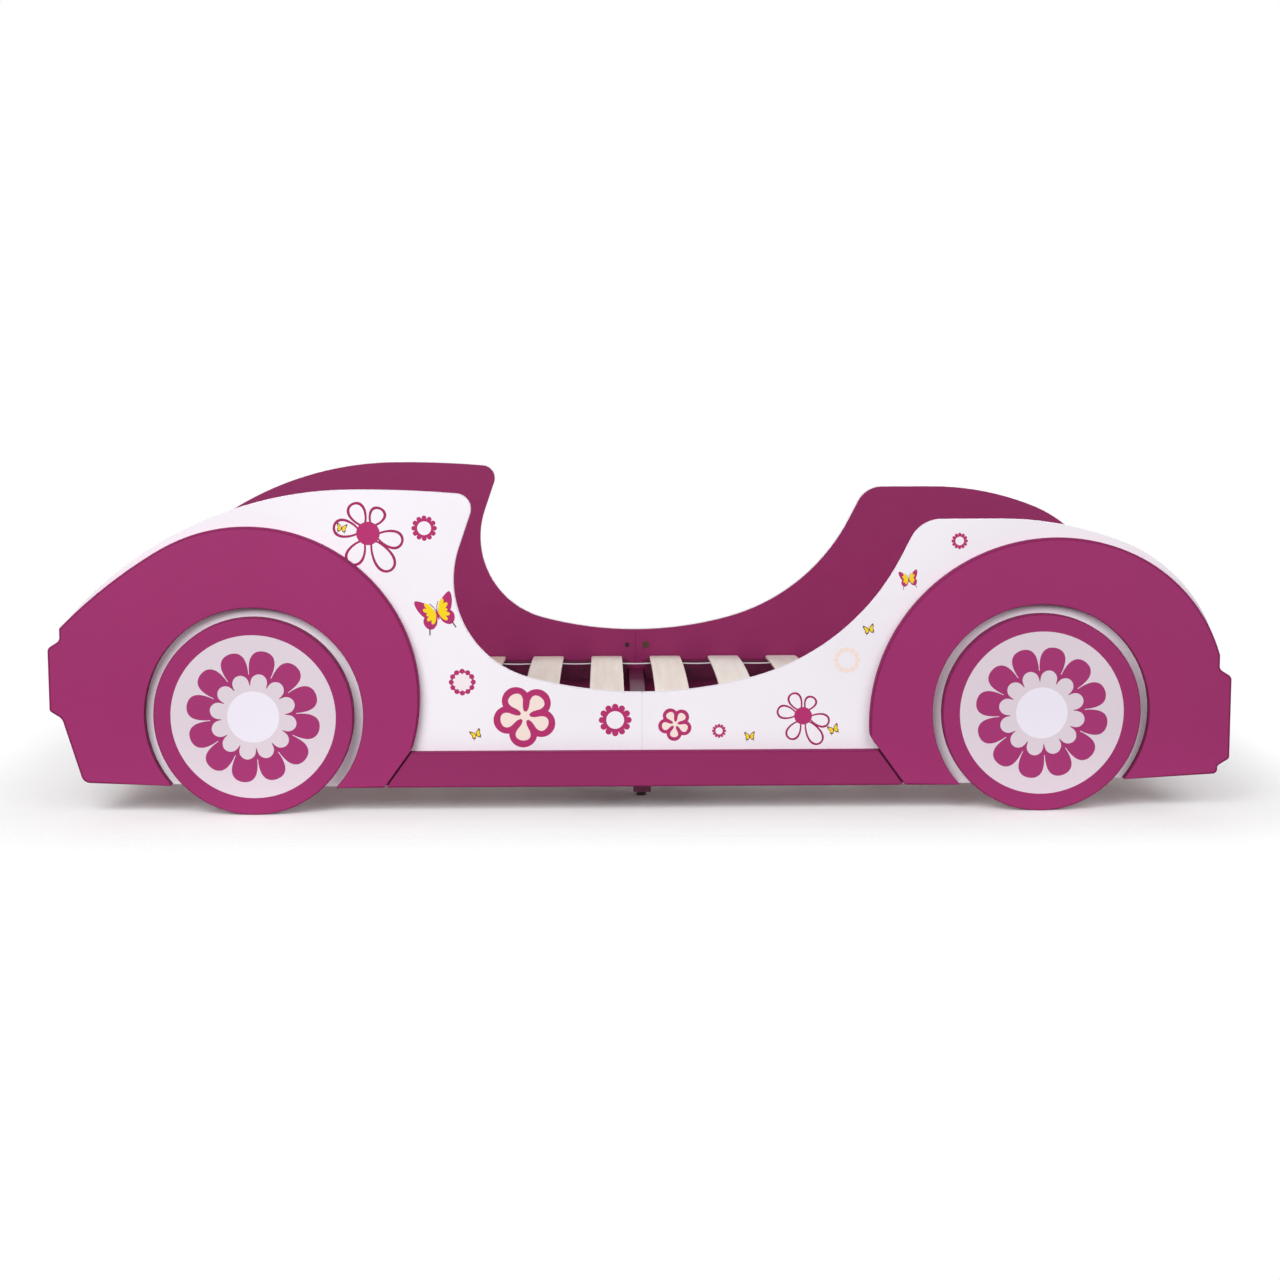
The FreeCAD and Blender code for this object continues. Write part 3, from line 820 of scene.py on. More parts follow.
@dataclass
class Draft:
    """A mesh in the making, with an outward normal and a surface mark for each vertex."""

    points: list[Vector] = field(default_factory=list)
    normals: list[Vector] = field(default_factory=list)
    marks: list[Spot] = field(default_factory=list)
    faces: list[list[int]] = field(default_factory=list)
    finishes: list[Finish] = field(default_factory=list)

    def add(self, point: Vector, normal: Vector, mark: Spot = (0.0, 0.0)) -> int:
        """Add a vertex.

        Args:
            point: Its place.
            normal: The direction that the surface looks in there.
            mark: Its place on the surface.

        Returns:
            Its number.
        """
        self.points.append(point)
        self.normals.append(normal.normalized())
        self.marks.append(mark)
        return len(self.points) - 1

    def face(self, corners: Sequence[int], finish: Finish) -> None:
        """Add a face, turned so that it looks the way its corners do.

        Args:
            corners: Its vertices.
            finish: How it looks.
        """
        spots = [self.points[corner] for corner in corners]
        square = Vector((0, 0, 0))
        for spot, following in zip(spots, [*spots[1:], spots[0]]):
            square += (spot - spots[0]).cross(following - spots[0])
        looks = sum((self.normals[corner] for corner in corners), Vector((0, 0, 0)))
        self.faces.append(list(corners) if square.dot(looks) >= 0 else list(corners)[::-1])
        self.finishes.append(finish)

    def bridge(self, near: Sequence[int], far: Sequence[int], finish: Finish) -> None:
        """Join two closed rings of as many vertices by a band of faces.

        Args:
            near: One ring.
            far: The other ring.
            finish: How the band looks.
        """
        for index in range(len(near)):
            self.face((near[index - 1], near[index], far[index], far[index - 1]), finish)

    def loft(self, rings: Sequence[Sequence[int]], finish: Finish) -> None:
        """Join rings one after another by bands of faces."""
        for near, far in zip(rings, rings[1:]):
            self.bridge(near, far, finish)

    def cap(self, ring: Sequence[int], normal: Vector, finish: Finish) -> None:
        """Close a ring by a flat face with vertices of its own.

        Args:
            ring: The ring.
            normal: The direction that the face looks in.
            finish: How it looks.
        """
        corners = [self.add(self.points[corner], normal) for corner in ring]
        self.face(corners, finish)

    def piece(self, name: str) -> bpy.types.Object:
        """Turn the draft into an object.

        Args:
            name: The object's name.

        Returns:
            The object, in the scene.
        """
        mesh = bpy.data.meshes.new(name)
        mesh.from_pydata(self.points, [], self.faces)
        slots = list(dict.fromkeys(self.finishes))
        for finish in slots:
            mesh.materials.append(finish.material())
        mesh.polygons.foreach_set("material_index", [slots.index(finish) for finish in self.finishes])
        mesh.polygons.foreach_set("use_smooth", [True] * len(self.faces))
        if any(mark != (0.0, 0.0) for mark in self.marks):
            layer = mesh.uv_layers.new(name="surface")
            for loop in mesh.loops:
                layer.data[loop.index].uv = self.marks[loop.vertex_index]
        mesh.normals_split_custom_set_from_vertices(self.normals)
        mesh.update()
        return stand(name, mesh)


@dataclass(frozen=True)
class Stamp:
    """One flat patch of a print."""

    outline: Outline
    finish: Finish


def fill_face(
    draft: Draft,
    facing: Facing,
    level: float,
    rim: tuple[Sequence[Spot], Sequence[int]],
    finish: Finish,
    holes: Sequence[Outline] = (),
    stamps: Sequence[Stamp] = (),
) -> None:
    """Fill a flat face inside its rim, with holes left open and prints laid on in order.

    Args:
        draft: The mesh that gets the face.
        facing: The direction that the face looks in.
        level: Its place along that axis.
        rim: The rim's spots and vertices.
        finish: How the bare face looks.
        holes: Outlines that stay open.
        stamps: Patches of the print.
    """
    spots, ring = rim
    outlines = [list(spots), *holes, *(stamp.outline for stamp in stamps)]
    order = [index if signed_area(spots) > 0 else -1 - index for index in range(len(spots))]
    coordinates: list[Vector] = []
    loops: list[list[int]] = []
    for number, outline in enumerate(outlines):
        start = len(coordinates)
        drawn = [outline[index] for index in order] if number == 0 else anticlockwise(outline)
        coordinates += [Vector((u / MM, v / MM)) for u, v in drawn]
        loops.append(list(range(start, len(coordinates))))
    tiled = delaunay_2d_cdt(coordinates, [], loops, FILLED_INSIDE, TILE_WELD)
    places, _, triangles, origins, _, covers = tiled
    vertices = []
    for place, origin in zip(places, origins):
        on_rim = [index for index in origin if index < len(ring)]
        if on_rim:
            vertices.append(ring[order[on_rim[0]]])
        else:
            vertices.append(draft.add(facing.point((place.x * MM, place.y * MM), level), facing.normal))
    for triangle, cover in zip(triangles, covers):
        if 0 not in cover or any(0 < number <= len(holes) for number in cover):
            continue
        top = max(cover)
        look = stamps[top - 1 - len(holes)].finish if top > len(holes) else finish
        draft.face([vertices[corner] for corner in triangle], look)


def sink(
    draft: Draft, facing: Facing, level: float, outline: Sequence[Spot], depth: float, finish: Finish
) -> None:
    """Line a hole in a flat face with walls and a floor.

    Args:
        draft: The mesh that gets them.
        facing: The direction that the face looks in.
        level: The face's place along that axis.
        outline: The hole's outline.
        depth: How deep it goes.
        finish: How the inside looks.
    """
    loop = anticlockwise(outline)
    floor = level - facing.sign * depth
    count = len(loop)
    smooth = outward(loop)
    for index in range(count):
        ends = (loop[index], loop[(index + 1) % count])
        edge = ((ends[1][1] - ends[0][1]), -(ends[1][0] - ends[0][0]))
        round_hole = corner_turn(loop[index - 1], *ends) < SHARP_TURN
        looks = (smooth[index], smooth[(index + 1) % count]) if round_hole else (edge, edge)
        wall = [
            draft.add(facing.point(spot, height), -facing.point(look, 0.0))
            for height in (level, floor)
            for spot, look in zip(ends, looks)
        ]
        draft.face((wall[0], wall[1], wall[3], wall[2]), finish)
    ring = [draft.add(facing.point(spot, floor), facing.normal) for spot in loop]
    draft.face(ring, finish)


def turn_profile(
    draft: Draft,
    centre: Vector,
    along: Vector,
    profile: Sequence[Triple],
    finish: Finish,
    steps: int = TURNED_STEPS,
    flutes: int = 0,
    flute_depth: float = 0.0,
) -> list[list[int]]:
    """Turn a profile about an axis.

    Args:
        draft: The mesh that gets the surface.
        centre: Where the axis starts.
        along: The axis, a unit vector.
        profile: Radius, distance along the axis and lean towards the axis in degrees, in order.
        finish: How the surface looks.
        steps: How many sides a ring has.
        flutes: How many grooves run along it.
        flute_depth: How deep they are.

    Returns:
        The rings, in order.
    """
    first = along.orthogonal().normalized()
    second = along.cross(first)
    rings = []
    for radius, distance, lean in profile:
        tilt = math.radians(lean)
        ring = []
        for angle in full_turn(steps):
            out = first * math.cos(angle) + second * math.sin(angle)
            reach = radius - flute_depth * (0.5 - 0.5 * math.cos(flutes * angle)) if flutes else radius
            spot = centre + along * distance + out * reach
            ring.append(draft.add(spot, out * math.cos(tilt) + along * math.sin(tilt)))
        rings.append(ring)
    draft.loft(rings, finish)
    return rings


def weld_keys(mesh: bpy.types.Mesh) -> list[tuple[int, ...]]:
    """Give vertices at one place the same key."""
    return [tuple(round(part / WELD) for part in vertex.co) for vertex in mesh.vertices]


def loose_boxes(node: str) -> list[Box]:
    """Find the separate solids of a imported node.

    Args:
        node: The node's name.

    Returns:
        The lowest and highest corner of each solid.
    """
    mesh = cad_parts[node].data
    key = weld_keys(mesh)
    lead: dict[tuple[int, ...], tuple[int, ...]] = {spot: spot for spot in key}

    def root(spot: tuple[int, ...]) -> tuple[int, ...]:
        """Follow a vertex to the one that stands for its solid.

        Args:
            spot: The vertex's key.

        Returns:
            The key of the one that stands for the solid.
        """
        while lead[spot] != spot:
            lead[spot] = lead[lead[spot]]
            spot = lead[spot]
        return spot

    for polygon in mesh.polygons:
        corners = [root(key[index]) for index in polygon.vertices]
        for corner in corners[1:]:
            lead[root(corner)] = root(corners[0])
    solids: dict[tuple[int, ...], list[Vector]] = {}
    for vertex in mesh.vertices:
        solids.setdefault(root(key[vertex.index]), []).append(vertex.co)
    boxes = []
    for spots in solids.values():
        low = Vector([min(spot[axis] for spot in spots) for axis in range(3)])
        high = Vector([max(spot[axis] for spot in spots) for axis in range(3)])
        boxes.append((low, high))
    return sorted(boxes, key=lambda box: tuple(box[0]))


def face_outlines(node: str, facing: Facing, level: float) -> list[Outline]:
    """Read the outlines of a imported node's flat face, the largest first.

    Args:
        node: The node's name.
        facing: The direction that the face lies square to.
        level: The face's place along that axis.

    Returns:
        Each closed outline, anticlockwise.
    """
    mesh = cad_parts[node].data
    axis = facing.axis
    key = weld_keys(mesh)
    spots = {}
    edges = set()
    for polygon in mesh.polygons:
        corners = list(polygon.vertices)
        if any(abs(mesh.vertices[index].co[axis] - level) > FLAT for index in corners):
            continue
        for start, end in zip(corners, [*corners[1:], corners[0]]):
            edges.add((key[start], key[end]))
            co = mesh.vertices[start].co
            spots[key[start]] = (co[1 - axis], co[2])
    follow = {start: end for start, end in edges if (end, start) not in edges}
    found = []
    while follow:
        start, spot = follow.popitem()
        outline = [spots[start]]
        while spot != start:
            outline.append(spots[spot])
            spot = follow.pop(spot)
        found.append(anticlockwise(outline))
    return sorted(found, key=signed_area, reverse=True)


def disc_centre(node: str) -> Spot:
    """Find the centre of a packed disc that stands along the bed."""
    low, high = packed_box(node)
    return (low.x + high.x) / 2, (low.z + high.z) / 2


def deliver(piece: bpy.types.Object, body: Body, slot: Slot, *nodes: str) -> bpy.types.Object:
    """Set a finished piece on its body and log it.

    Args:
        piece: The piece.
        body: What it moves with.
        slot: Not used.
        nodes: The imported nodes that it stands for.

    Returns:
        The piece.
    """
    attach(piece, body.value)
    if nodes:
        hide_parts(*nodes)
    LOG.info("%s rides on %s", piece.name, body.value)
    return piece


# Prints


@dataclass(frozen=True)
class Motif(ABC):
    """A printed figure: its place on the side, its width and its turn in degrees."""

    at: Spot
    size: float
    turn: float = 0.0

    @abstractmethod
    def patches(self) -> list[Stamp]:
        """Draw the figure's patches in order, about the origin and one unit wide."""

    def stamps(self) -> list[Stamp]:
        """Draw the figure in its place, in metres."""
        at = (self.at[0] * MM, self.at[1] * MM)
        size = self.size * MM
        return [Stamp(placed(patch.outline, at, self.turn, size), patch.finish) for patch in self.patches()]


@dataclass(frozen=True)
class Rosette(Motif):
    """A ring with a bead for each petal and an open centre."""

    ink: Finish = Look.PRINT_MAGENTA
    centre: Finish = Look.WHITE
    petals: int = 12
    bead_share: float = 0.096
    ring_share: float = 0.38
    hole_share: float = 0.27
    bead_steps: int = 24

    def patches(self) -> list[Stamp]:
        """Draw the figure.

        Returns:
            Its patches in order, about the origin and one unit wide.
        """
        bead = circle(self.bead_share, (0.5 - self.bead_share, 0.0), self.bead_steps)
        drawn = [Stamp(petal, self.ink) for petal in whorl(bead, self.petals)]
        drawn.append(Stamp(circle(self.ring_share, steps=RING_STEPS), self.ink))
        drawn.append(Stamp(circle(self.hole_share, steps=RING_STEPS), self.centre))
        return drawn


@dataclass(frozen=True)
class BeadedRosette(Rosette):
    """A rosette of round beads whose centre bursts outwards in small rays."""

    bead_share: float = 0.104
    ring_share: float = 0.41
    hole_share: float = 0.31
    ray_share: float = 0.05
    ray_steps: int = 16

    def patches(self) -> list[Stamp]:
        """Draw the figure.

        Returns:
            Its patches in order, about the origin and one unit wide.
        """
        ray = circle(self.ray_share, (self.hole_share, 0.0), self.ray_steps)
        rays = whorl(ray, self.petals, first_turn=180 / self.petals)
        return [*super().patches(), *(Stamp(drawn, self.centre) for drawn in rays)]


@dataclass(frozen=True)
class FiveLobe(Motif):
    """A five-lobed flower with pale petals inside a broad border."""

    lobes: int = 5
    first_turn: float = 48.0
    lobe_shares: Spot = (0.223, 0.28)
    border_share: float = 0.235
    heart_share: float = 0.075
    heart_steps: int = 32
    petal_shares: tuple[Spot, ...] = (
        (0.03, 0.02), (0.12, 0.036), (0.18, 0.066), (0.245, 0.106),
        (0.31, 0.117), (0.36, 0.092), (0.388, 0.035),
    )

    def patches(self) -> list[Stamp]:
        """Draw the figure.

        Returns:
            Its patches in order, about the origin and one unit wide.
        """
        radius, reach = self.lobe_shares
        border = whorl(circle(radius, (reach, 0.0)), self.lobes, self.first_turn)
        border.append(circle(self.border_share))
        petals = whorl(petal_shape(self.petal_shares), self.lobes, self.first_turn)
        petals.append(circle(self.heart_share, steps=self.heart_steps))
        return [
            *(Stamp(drawn, Look.PRINT_MAGENTA) for drawn in border),
            *(Stamp(drawn, Look.PRINT_PEACH) for drawn in petals),
        ]


@dataclass(frozen=True)
class OutlineDaisy(Motif):
    """A daisy drawn in line, with a solid heart and petals of uneven length."""

    petals: tuple[Spot, ...] = (
        (117, 0.47), (62, 0.4), (-14, 0.5), (-59, 0.61), (-121, 0.5), (168, 0.49),
    )
    line_share: float = 0.035
    heart_share: float = 0.162
    start_share: float = 0.11
    width_share: float = 0.36
    fuller: float = 0.34

    def patches(self) -> list[Stamp]:
        """Draw the figure.

        Returns:
            Its patches in order, about the origin and one unit wide.
        """
        drawn = []
        for turn, reach in self.petals:
            middle = ((self.start_share + reach) / 2, 0.0)
            along = (reach - self.start_share) / 2
            across = self.width_share * math.sqrt(reach) / 2
            for inset, look in ((0.0, Look.PRINT_WINE), (self.line_share, Look.WHITE)):
                petal = ellipse(along - inset, across - inset, middle, RING_STEPS, self.fuller)
                drawn.append(Stamp(placed(petal, turn=turn), look))
        return [*drawn, Stamp(circle(self.heart_share, steps=RING_STEPS), Look.PRINT_MAGENTA)]


@dataclass(frozen=True)
class Butterfly(Motif):
    """A butterfly seen from above, with a bright patch in each wing."""

    edge: Finish = Look.PRINT_DARK
    veined: bool = False
    fore: tuple[Spot, ...] = (
        (0.02, 0.0), (0.1, 0.22), (0.27, 0.4), (0.46, 0.5),
        (0.5, 0.38), (0.45, 0.18), (0.35, 0.01), (0.2, -0.04),
    )
    hind: tuple[Spot, ...] = (
        (0.02, 0.05), (0.2, 0.04), (0.37, 0.0), (0.42, -0.14), (0.36, -0.29), (0.22, -0.34), (0.07, -0.21),
    )
    tail: tuple[Spot, ...] = ((0.3, -0.27), (0.33, -0.38), (0.36, -0.47))
    feeler: tuple[Spot, ...] = ((0.01, 0.1), (0.05, 0.22), (0.12, 0.33))
    tail_share: float = 0.035
    feeler_share: float = 0.02
    body_shares: Spot = (0.028, 0.14)
    body_at: Spot = (0.0, -0.01)
    body_steps: int = 20
    patch_share: float = 0.7
    patch_at: Spot = (0.05, 0.01)
    lobes: tuple[Triple, ...] = (
        (57, 0.4, 0.115), (33, 0.36, 0.115), (7, 0.26, 0.09), (-22, 0.3, 0.11), (-54, 0.3, 0.105),
    )
    lobes_at: Spot = (0.03, 0.03)
    lobe_steps: int = 28

    def wing_patches(self, wings: Sequence[Outline]) -> list[Outline]:
        """Draw the bright patches of one side's wings.

        Args:
            wings: The fore wing and the hind wing.

        Returns:
            The patches: lobes between veins, or both wings inside a thin edge.
        """
        if not self.veined:
            return [placed(wing, self.patch_at, scale=self.patch_share) for wing in wings]
        return [
            placed(teardrop(reach, width, self.lobe_steps), self.lobes_at, turn)
            for turn, reach, width in self.lobes
        ]

    def patches(self) -> list[Stamp]:
        """Draw the figure.

        Returns:
            Its patches in order, about the origin and one unit wide.
        """
        wings = [curved(wing) for wing in (self.fore, self.hind)]
        drawn = [Stamp(wing, self.edge) for wing in wings]
        drawn.append(Stamp(strip(self.tail, self.tail_share), Look.PRINT_DARK))
        drawn.append(Stamp(strip(self.feeler, self.feeler_share), Look.PRINT_DARK))
        drawn += [Stamp(patch, Look.PRINT_YELLOW) for patch in self.wing_patches(wings)]
        other = [Stamp([(-u, v) for u, v in stamp.outline], stamp.finish) for stamp in drawn]
        body = ellipse(*self.body_shares, self.body_at, self.body_steps)
        return [*drawn, *other, Stamp(body, self.edge)]


@dataclass(frozen=True)
class SidePrint:
    """The scatter of figures on a long side, in millimetres from the middle of the bed and the floor."""

    motifs: tuple[Motif, ...] = (
        OutlineDaisy((-492, 509), 131),
        Butterfly((-539, 518), 19, -10),
        Rosette((-391, 518), 46),
        Butterfly((-369, 362), 69, 17, edge=Look.PRINT_MAGENTA, veined=True),
        BeadedRosette((-326, 238), 49, centre=Look.PRINT_BLUSH),
        Butterfly((-302, 141), 20, 20),
        FiveLobe((-213, 175), 115),
        Rosette((-49, 167), 60),
        FiveLobe((60, 159), 62),
        Rosette((140, 146), 26, ring_share=0.36, hole_share=0.25),
        Butterfly((196, 135), 19, 4),
        OutlineDaisy((293, 173), 100),
        Butterfly((349, 147), 20, 20),
        BeadedRosette((372, 275), 48, ink=Look.PRINT_FAINT),
        Butterfly((412, 330), 20, 14),
        Butterfly((483, 421), 34, 8, edge=Look.PRINT_MAGENTA, veined=True),
        Rosette((574, 491), 30, ring_share=0.37, hole_share=0.26),
    )

    def stamps(self, end: End) -> list[Stamp]:
        """List the patches that lie on one half of the side."""
        return [stamp for motif in self.motifs if motif.at[0] * end.value > 0 for stamp in motif.stamps()]


@dataclass(frozen=True)
class WheelPrint:
    """The flower on a wheel, as shares of the wheel's radius."""

    petals: int = 12
    first_turn: float = 79.5
    disc_share: float = 0.826
    ground_share: float = 0.43
    heart_share: float = 0.315
    hub_share: float = 0.26
    disc_steps: int = 128
    heart_steps: int = 96
    petal_shares: tuple[Spot, ...] = (
        (0.38, 0.09), (0.43, 0.111), (0.48, 0.122), (0.53, 0.127),
        (0.58, 0.123), (0.625, 0.104), (0.657, 0.068), (0.671, 0.023),
    )
    scallop_shares: tuple[Spot, ...] = (
        (0.28, 0.07), (0.32, 0.08), (0.355, 0.082), (0.388, 0.075), (0.416, 0.054), (0.435, 0.021),
    )

    def stamps(self, centre: Spot, radius: float) -> list[Stamp]:
        """Draw the flower about a wheel's centre.

        Args:
            centre: The wheel's centre.
            radius: Its radius.

        Returns:
            The patches, in order.
        """
        petals = whorl(petal_shape(self.petal_shares), self.petals, self.first_turn)
        scallops = whorl(petal_shape(self.scallop_shares), self.petals, self.first_turn)
        layers = (
            (Look.WHEEL_PALE, [circle(self.disc_share, steps=self.disc_steps)]),
            (Look.WHEEL_MAGENTA, [circle(self.ground_share, steps=self.heart_steps), *petals]),
            (Look.WHEEL_PALE, [*scallops, circle(self.heart_share, steps=self.heart_steps)]),
            (Look.WHEEL_HUB, [circle(self.hub_share, steps=self.heart_steps)]),
        )
        return [
            Stamp(placed(drawn, centre, scale=radius), look)
            for look, outlines in layers
            for drawn in outlines
        ]


# Boards


@dataclass
class Board:
    """A flat board with rounded edges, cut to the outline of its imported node."""

    node: str
    facing: Facing
    slot: Slot = Slot.MAGENTA
    show_round: float = 1.5 * MM
    back_round: float = 1.0 * MM
    corner_round: float = 2.0 * MM
    pocket_depth: float = 12.6 * MM
    pocket_steps: int = 40
    show_look: Finish = Look.MAGENTA
    edge_look: Finish = Look.MAGENTA
    back_look: Finish = Look.MAGENTA
    pocket_look: Finish = Look.MAGENTA

    def levels(self) -> Spot:
        """Give the levels of the back and of the show face."""
        low, high = (corner[self.facing.axis] for corner in packed_box(self.node))
        return (low, high) if self.facing.sign > 0 else (high, low)

    def outline(self) -> Outline:
        """Read the board's outline, with its corners rounded."""
        return rounded(face_outlines(self.node, self.facing, self.levels()[0])[0], self.corner_round)

    def pockets(self, level: float) -> list[Outline]:
        """Find the round bores that open in a face.

        Args:
            level: The face's place along the board's axis.

        Returns:
            Their outlines, as true circles.
        """
        found = []
        for bore in face_outlines(self.node, self.facing, level)[1:]:
            low, high = box_of(bore)
            centre = ((low[0] + high[0]) / 2, (low[1] + high[1]) / 2)
            found.append(circle((high[0] - low[0]) / 2, centre, self.pocket_steps))
        return found

    def edge_round(self, spot: Spot, edge: Spot) -> float:
        """Give the radius of the show face's edge at a spot of the outline that looks in a direction."""
        return self.show_round

    def side_look(self, spot: Spot) -> Finish:
        """Give the finish of the board's side at a spot of the outline."""
        return self.edge_look

    def stamps(self) -> list[Stamp]:
        """Give the print on the show face."""
        return []

    def ring(self, draft: Draft, spots: Outline, lean: float, show: bool) -> tuple[Outline, list[int]]:
        """Add one ring of a rounded edge.

        Args:
            draft: The mesh that gets it.
            spots: The board's outline.
            lean: 0 at the board's side, a right angle at its face.
            show: Whether the face is the show face.

        Returns:
            The ring's spots and vertices.
        """
        back, front = self.levels()
        level, sign = (front, self.facing.sign) if show else (back, -self.facing.sign)
        looks = Facing(self.facing.axis, sign)
        drawn: Outline = []
        ring = []
        for spot, edge in zip(spots, outward(spots)):
            radius = self.edge_round(spot, edge) if show else self.back_round
            inset = radius * (1 - math.cos(lean))
            drawn.append((spot[0] - edge[0] * inset, spot[1] - edge[1] * inset))
            depth = radius * (1 - math.sin(lean))
            ring.append(draft.add(looks.point(drawn[-1], level - sign * depth), looks.tilted(edge, lean)))
        return drawn, ring

    def build(self) -> bpy.types.Object:
        """Make the board's mesh.

        Returns:
            The board.
        """
        draft = Draft()
        spots = self.outline()
        leans = [math.pi / 2 * step / ROUND_STEPS for step in range(ROUND_STEPS + 1)]
        back_rings = [self.ring(draft, spots, lean, False) for lean in leans]
        show_rings = [self.ring(draft, spots, lean, True) for lean in leans]
        near = back_rings[0][1]
        far = show_rings[0][1]
        for index, spot in enumerate(spots):
            draft.face((near[index - 1], near[index], far[index], far[index - 1]), self.side_look(spot))
        draft.loft([ring for _, ring in back_rings], self.back_look)
        draft.loft([ring for _, ring in show_rings], self.edge_look)
        back, front = self.levels()
        behind = Facing(self.facing.axis, -self.facing.sign)
        pockets = self.pockets(back)
        fill_face(draft, behind, back, back_rings[-1], self.back_look, pockets)
        for pocket in pockets:
            sink(draft, behind, back, pocket, self.pocket_depth, self.pocket_look)
        fill_face(draft, self.facing, front, show_rings[-1], self.show_look, stamps=self.stamps())
        return draft.piece(f"{self.node}_board")

    def fit(self) -> None:
        """Build the board and set it on the bed's frame in place of its node."""
        deliver(self.build(), Body.FRAME, self.slot, self.node)


@dataclass
class SidePanel(Board):
    """Half of a long side: white outside and along its edges, magenta inside, printed with flowers."""

    end: End = End.HEAD
    sill: str = ""
    slot: Slot = Slot.WHITE
    show_round: float = 1.2 * MM
    corner_round: float = 1.5 * MM
    show_look: Finish = Look.WHITE
    edge_look: Finish = Look.WHITE_EDGE
    back_look: Finish = Look.INNER_MAGENTA
    pocket_look: Finish = Look.INNER_MAGENTA
    seam_reach: float = 1.0 * MM
    seam_gap: float = 0.04 * MM
    seam_round: float = 0.5 * MM
    # Painted shade: how far the dark patch reaches past the sill's ends, so that the joint gaps look dark
    joint_shade_width: float = 8.0 * MM

    def outline(self) -> Outline:
        """Read the panel's outline, with its seam edge drawn up tight to the other half."""
        seam = self.end.value * self.seam_gap / 2
        return [(seam if abs(u) < self.seam_reach else u, v) for u, v in super().outline()]

    def edge_round(self, spot: Spot, edge: Spot) -> float:
        """Give the radius of the show face's edge at a spot of the outline that looks in a direction."""
        return self.seam_round if abs(spot[0]) < self.seam_reach else self.show_round

    def side_look(self, spot: Spot) -> Finish:
        """Give the finish of the board's side at a spot of the outline."""
        # The seam sides take the darker magenta, painted shade that makes the seam read as a dark line
        return self.back_look if abs(spot[0]) < self.seam_reach else self.edge_look

    def stamps(self) -> list[Stamp]:
        """Give the print on the show face, with a plum patch behind the sill and past its ends as painted
        shade in the joint gaps.
        """
        sill = face_outlines(self.sill, self.facing, self.levels()[1])[0]
        joint_shade = [(u + math.copysign(self.joint_shade_width, u), v) for u, v in sill]
        return [Stamp(joint_shade, Look.PLUM), *SidePrint().stamps(self.end)]


@dataclass
class Fender(Board):
    """An applied board over a wheel, softly rounded outside, crisp at the wheel and at the sill."""

    wheel: str = ""
    edge_look: Finish = Look.EDGE_MAGENTA
    show_round: float = 4.0 * MM
    crisp_round: float = 1.2 * MM
    arch_reach: float = 25.0 * MM
    sill_lean: float = 0.3
    back_round: float = 0.5 * MM
    corner_round: float = 1.6 * MM

    def edge_round(self, spot: Spot, edge: Spot) -> float:
        """Choose between the soft edge and the crisp one.

        Args:
            spot: A spot of the outline.
            edge: The direction that the outline looks in there.

        Returns:
            The radius of the show face's edge there.
        """
        low, high = packed_box(self.wheel)
        centre = disc_centre(self.wheel)
        on_arch = math.dist(spot, centre) < (high.z - low.z) / 2 + self.arch_reach
        inward = -math.copysign(1, centre[0]) * edge[0]
        at_sill = min(inward, -edge[1]) > self.sill_lean
        return self.crisp_round if on_arch or at_sill else self.show_round


@dataclass
class Sill(Board):
    """The applied board between two fenders, softly rounded along its length and crisp at its ends."""

    # The sill's face takes the darker magenta copy, as painted shade low on the side
    show_look: Finish = Look.INNER_MAGENTA
    edge_look: Finish = Look.EDGE_MAGENTA
    show_round: float = 3.0 * MM
    crisp_round: float = 1.0 * MM
    end_lean: float = 0.5
    corner_round: float = 3.4 * MM

    def edge_round(self, spot: Spot, edge: Spot) -> float:
        """Give the radius of the show face's edge at a spot of the outline that looks in a direction."""
        return self.crisp_round if abs(edge[0]) > self.end_lean else self.show_round


@dataclass
class Wheel(Board):
    """A fixed disc that stands for a wheel, with a printed flower face."""

    edge_look: Finish = Look.EDGE_MAGENTA
    show_round: float = 2.0 * MM
    rim_steps: int = 160

    def radius(self) -> float:
        """Measure the wheel's radius."""
        low, high = packed_box(self.node)
        return (high.x - low.x) / 2

    def outline(self) -> Outline:
        """Draw the wheel's round outline."""
        return circle(self.radius(), disc_centre(self.node), self.rim_steps)

    def stamps(self) -> list[Stamp]:
        """Give the print on the show face."""
        return WheelPrint().stamps(disc_centre(self.node), self.radius())


@dataclass
class Carcass:
    """All boards of the bed's frame."""

    # The ledges and the centre beam take the dark plum, as painted shade under the slats
    batten_shade_look: Finish = Look.PLUM
    end_look: Finish = Look.INNER_MAGENTA

    def boards(self) -> list[Board]:
        """List the boards.

        Returns:
            Every board, the long sides first.
        """
        made: list[Board] = []
        for side in Side:
            out = Facing(1, side.value)
            for end in End:
                stem = f"{side.word}_{end.word}"
                made.append(SidePanel(f"{stem}_panel", out, end=end, sill=f"{side.word}_sill"))
                made.append(Fender(f"{stem}_fender", out, wheel=f"{stem}_wheel"))
                made.append(Wheel(f"{stem}_wheel", out))
                made.append(self.plain(f"{stem}_ledge", Facing(1, -side.value), self.batten_shade_look))
            made.append(Sill(f"{side.word}_sill", out))
        for end in End:
            made.append(self.plain(f"{end.word}_end_board", Facing(0, end.value), self.end_look))
        made.append(self.plain("centre_beam", Facing(0, 1), self.batten_shade_look))
        return made

    @staticmethod
    def plain(node: str, facing: Facing, look: Finish) -> Board:
        """Make a board of one finish all over."""
        return Board(node, facing, show_look=look, edge_look=look, back_look=look, pocket_look=look)

    def fit(self) -> None:
        """Build every board and set it on the frame."""
        for board in self.boards():
            board.fit()


# Slatted base


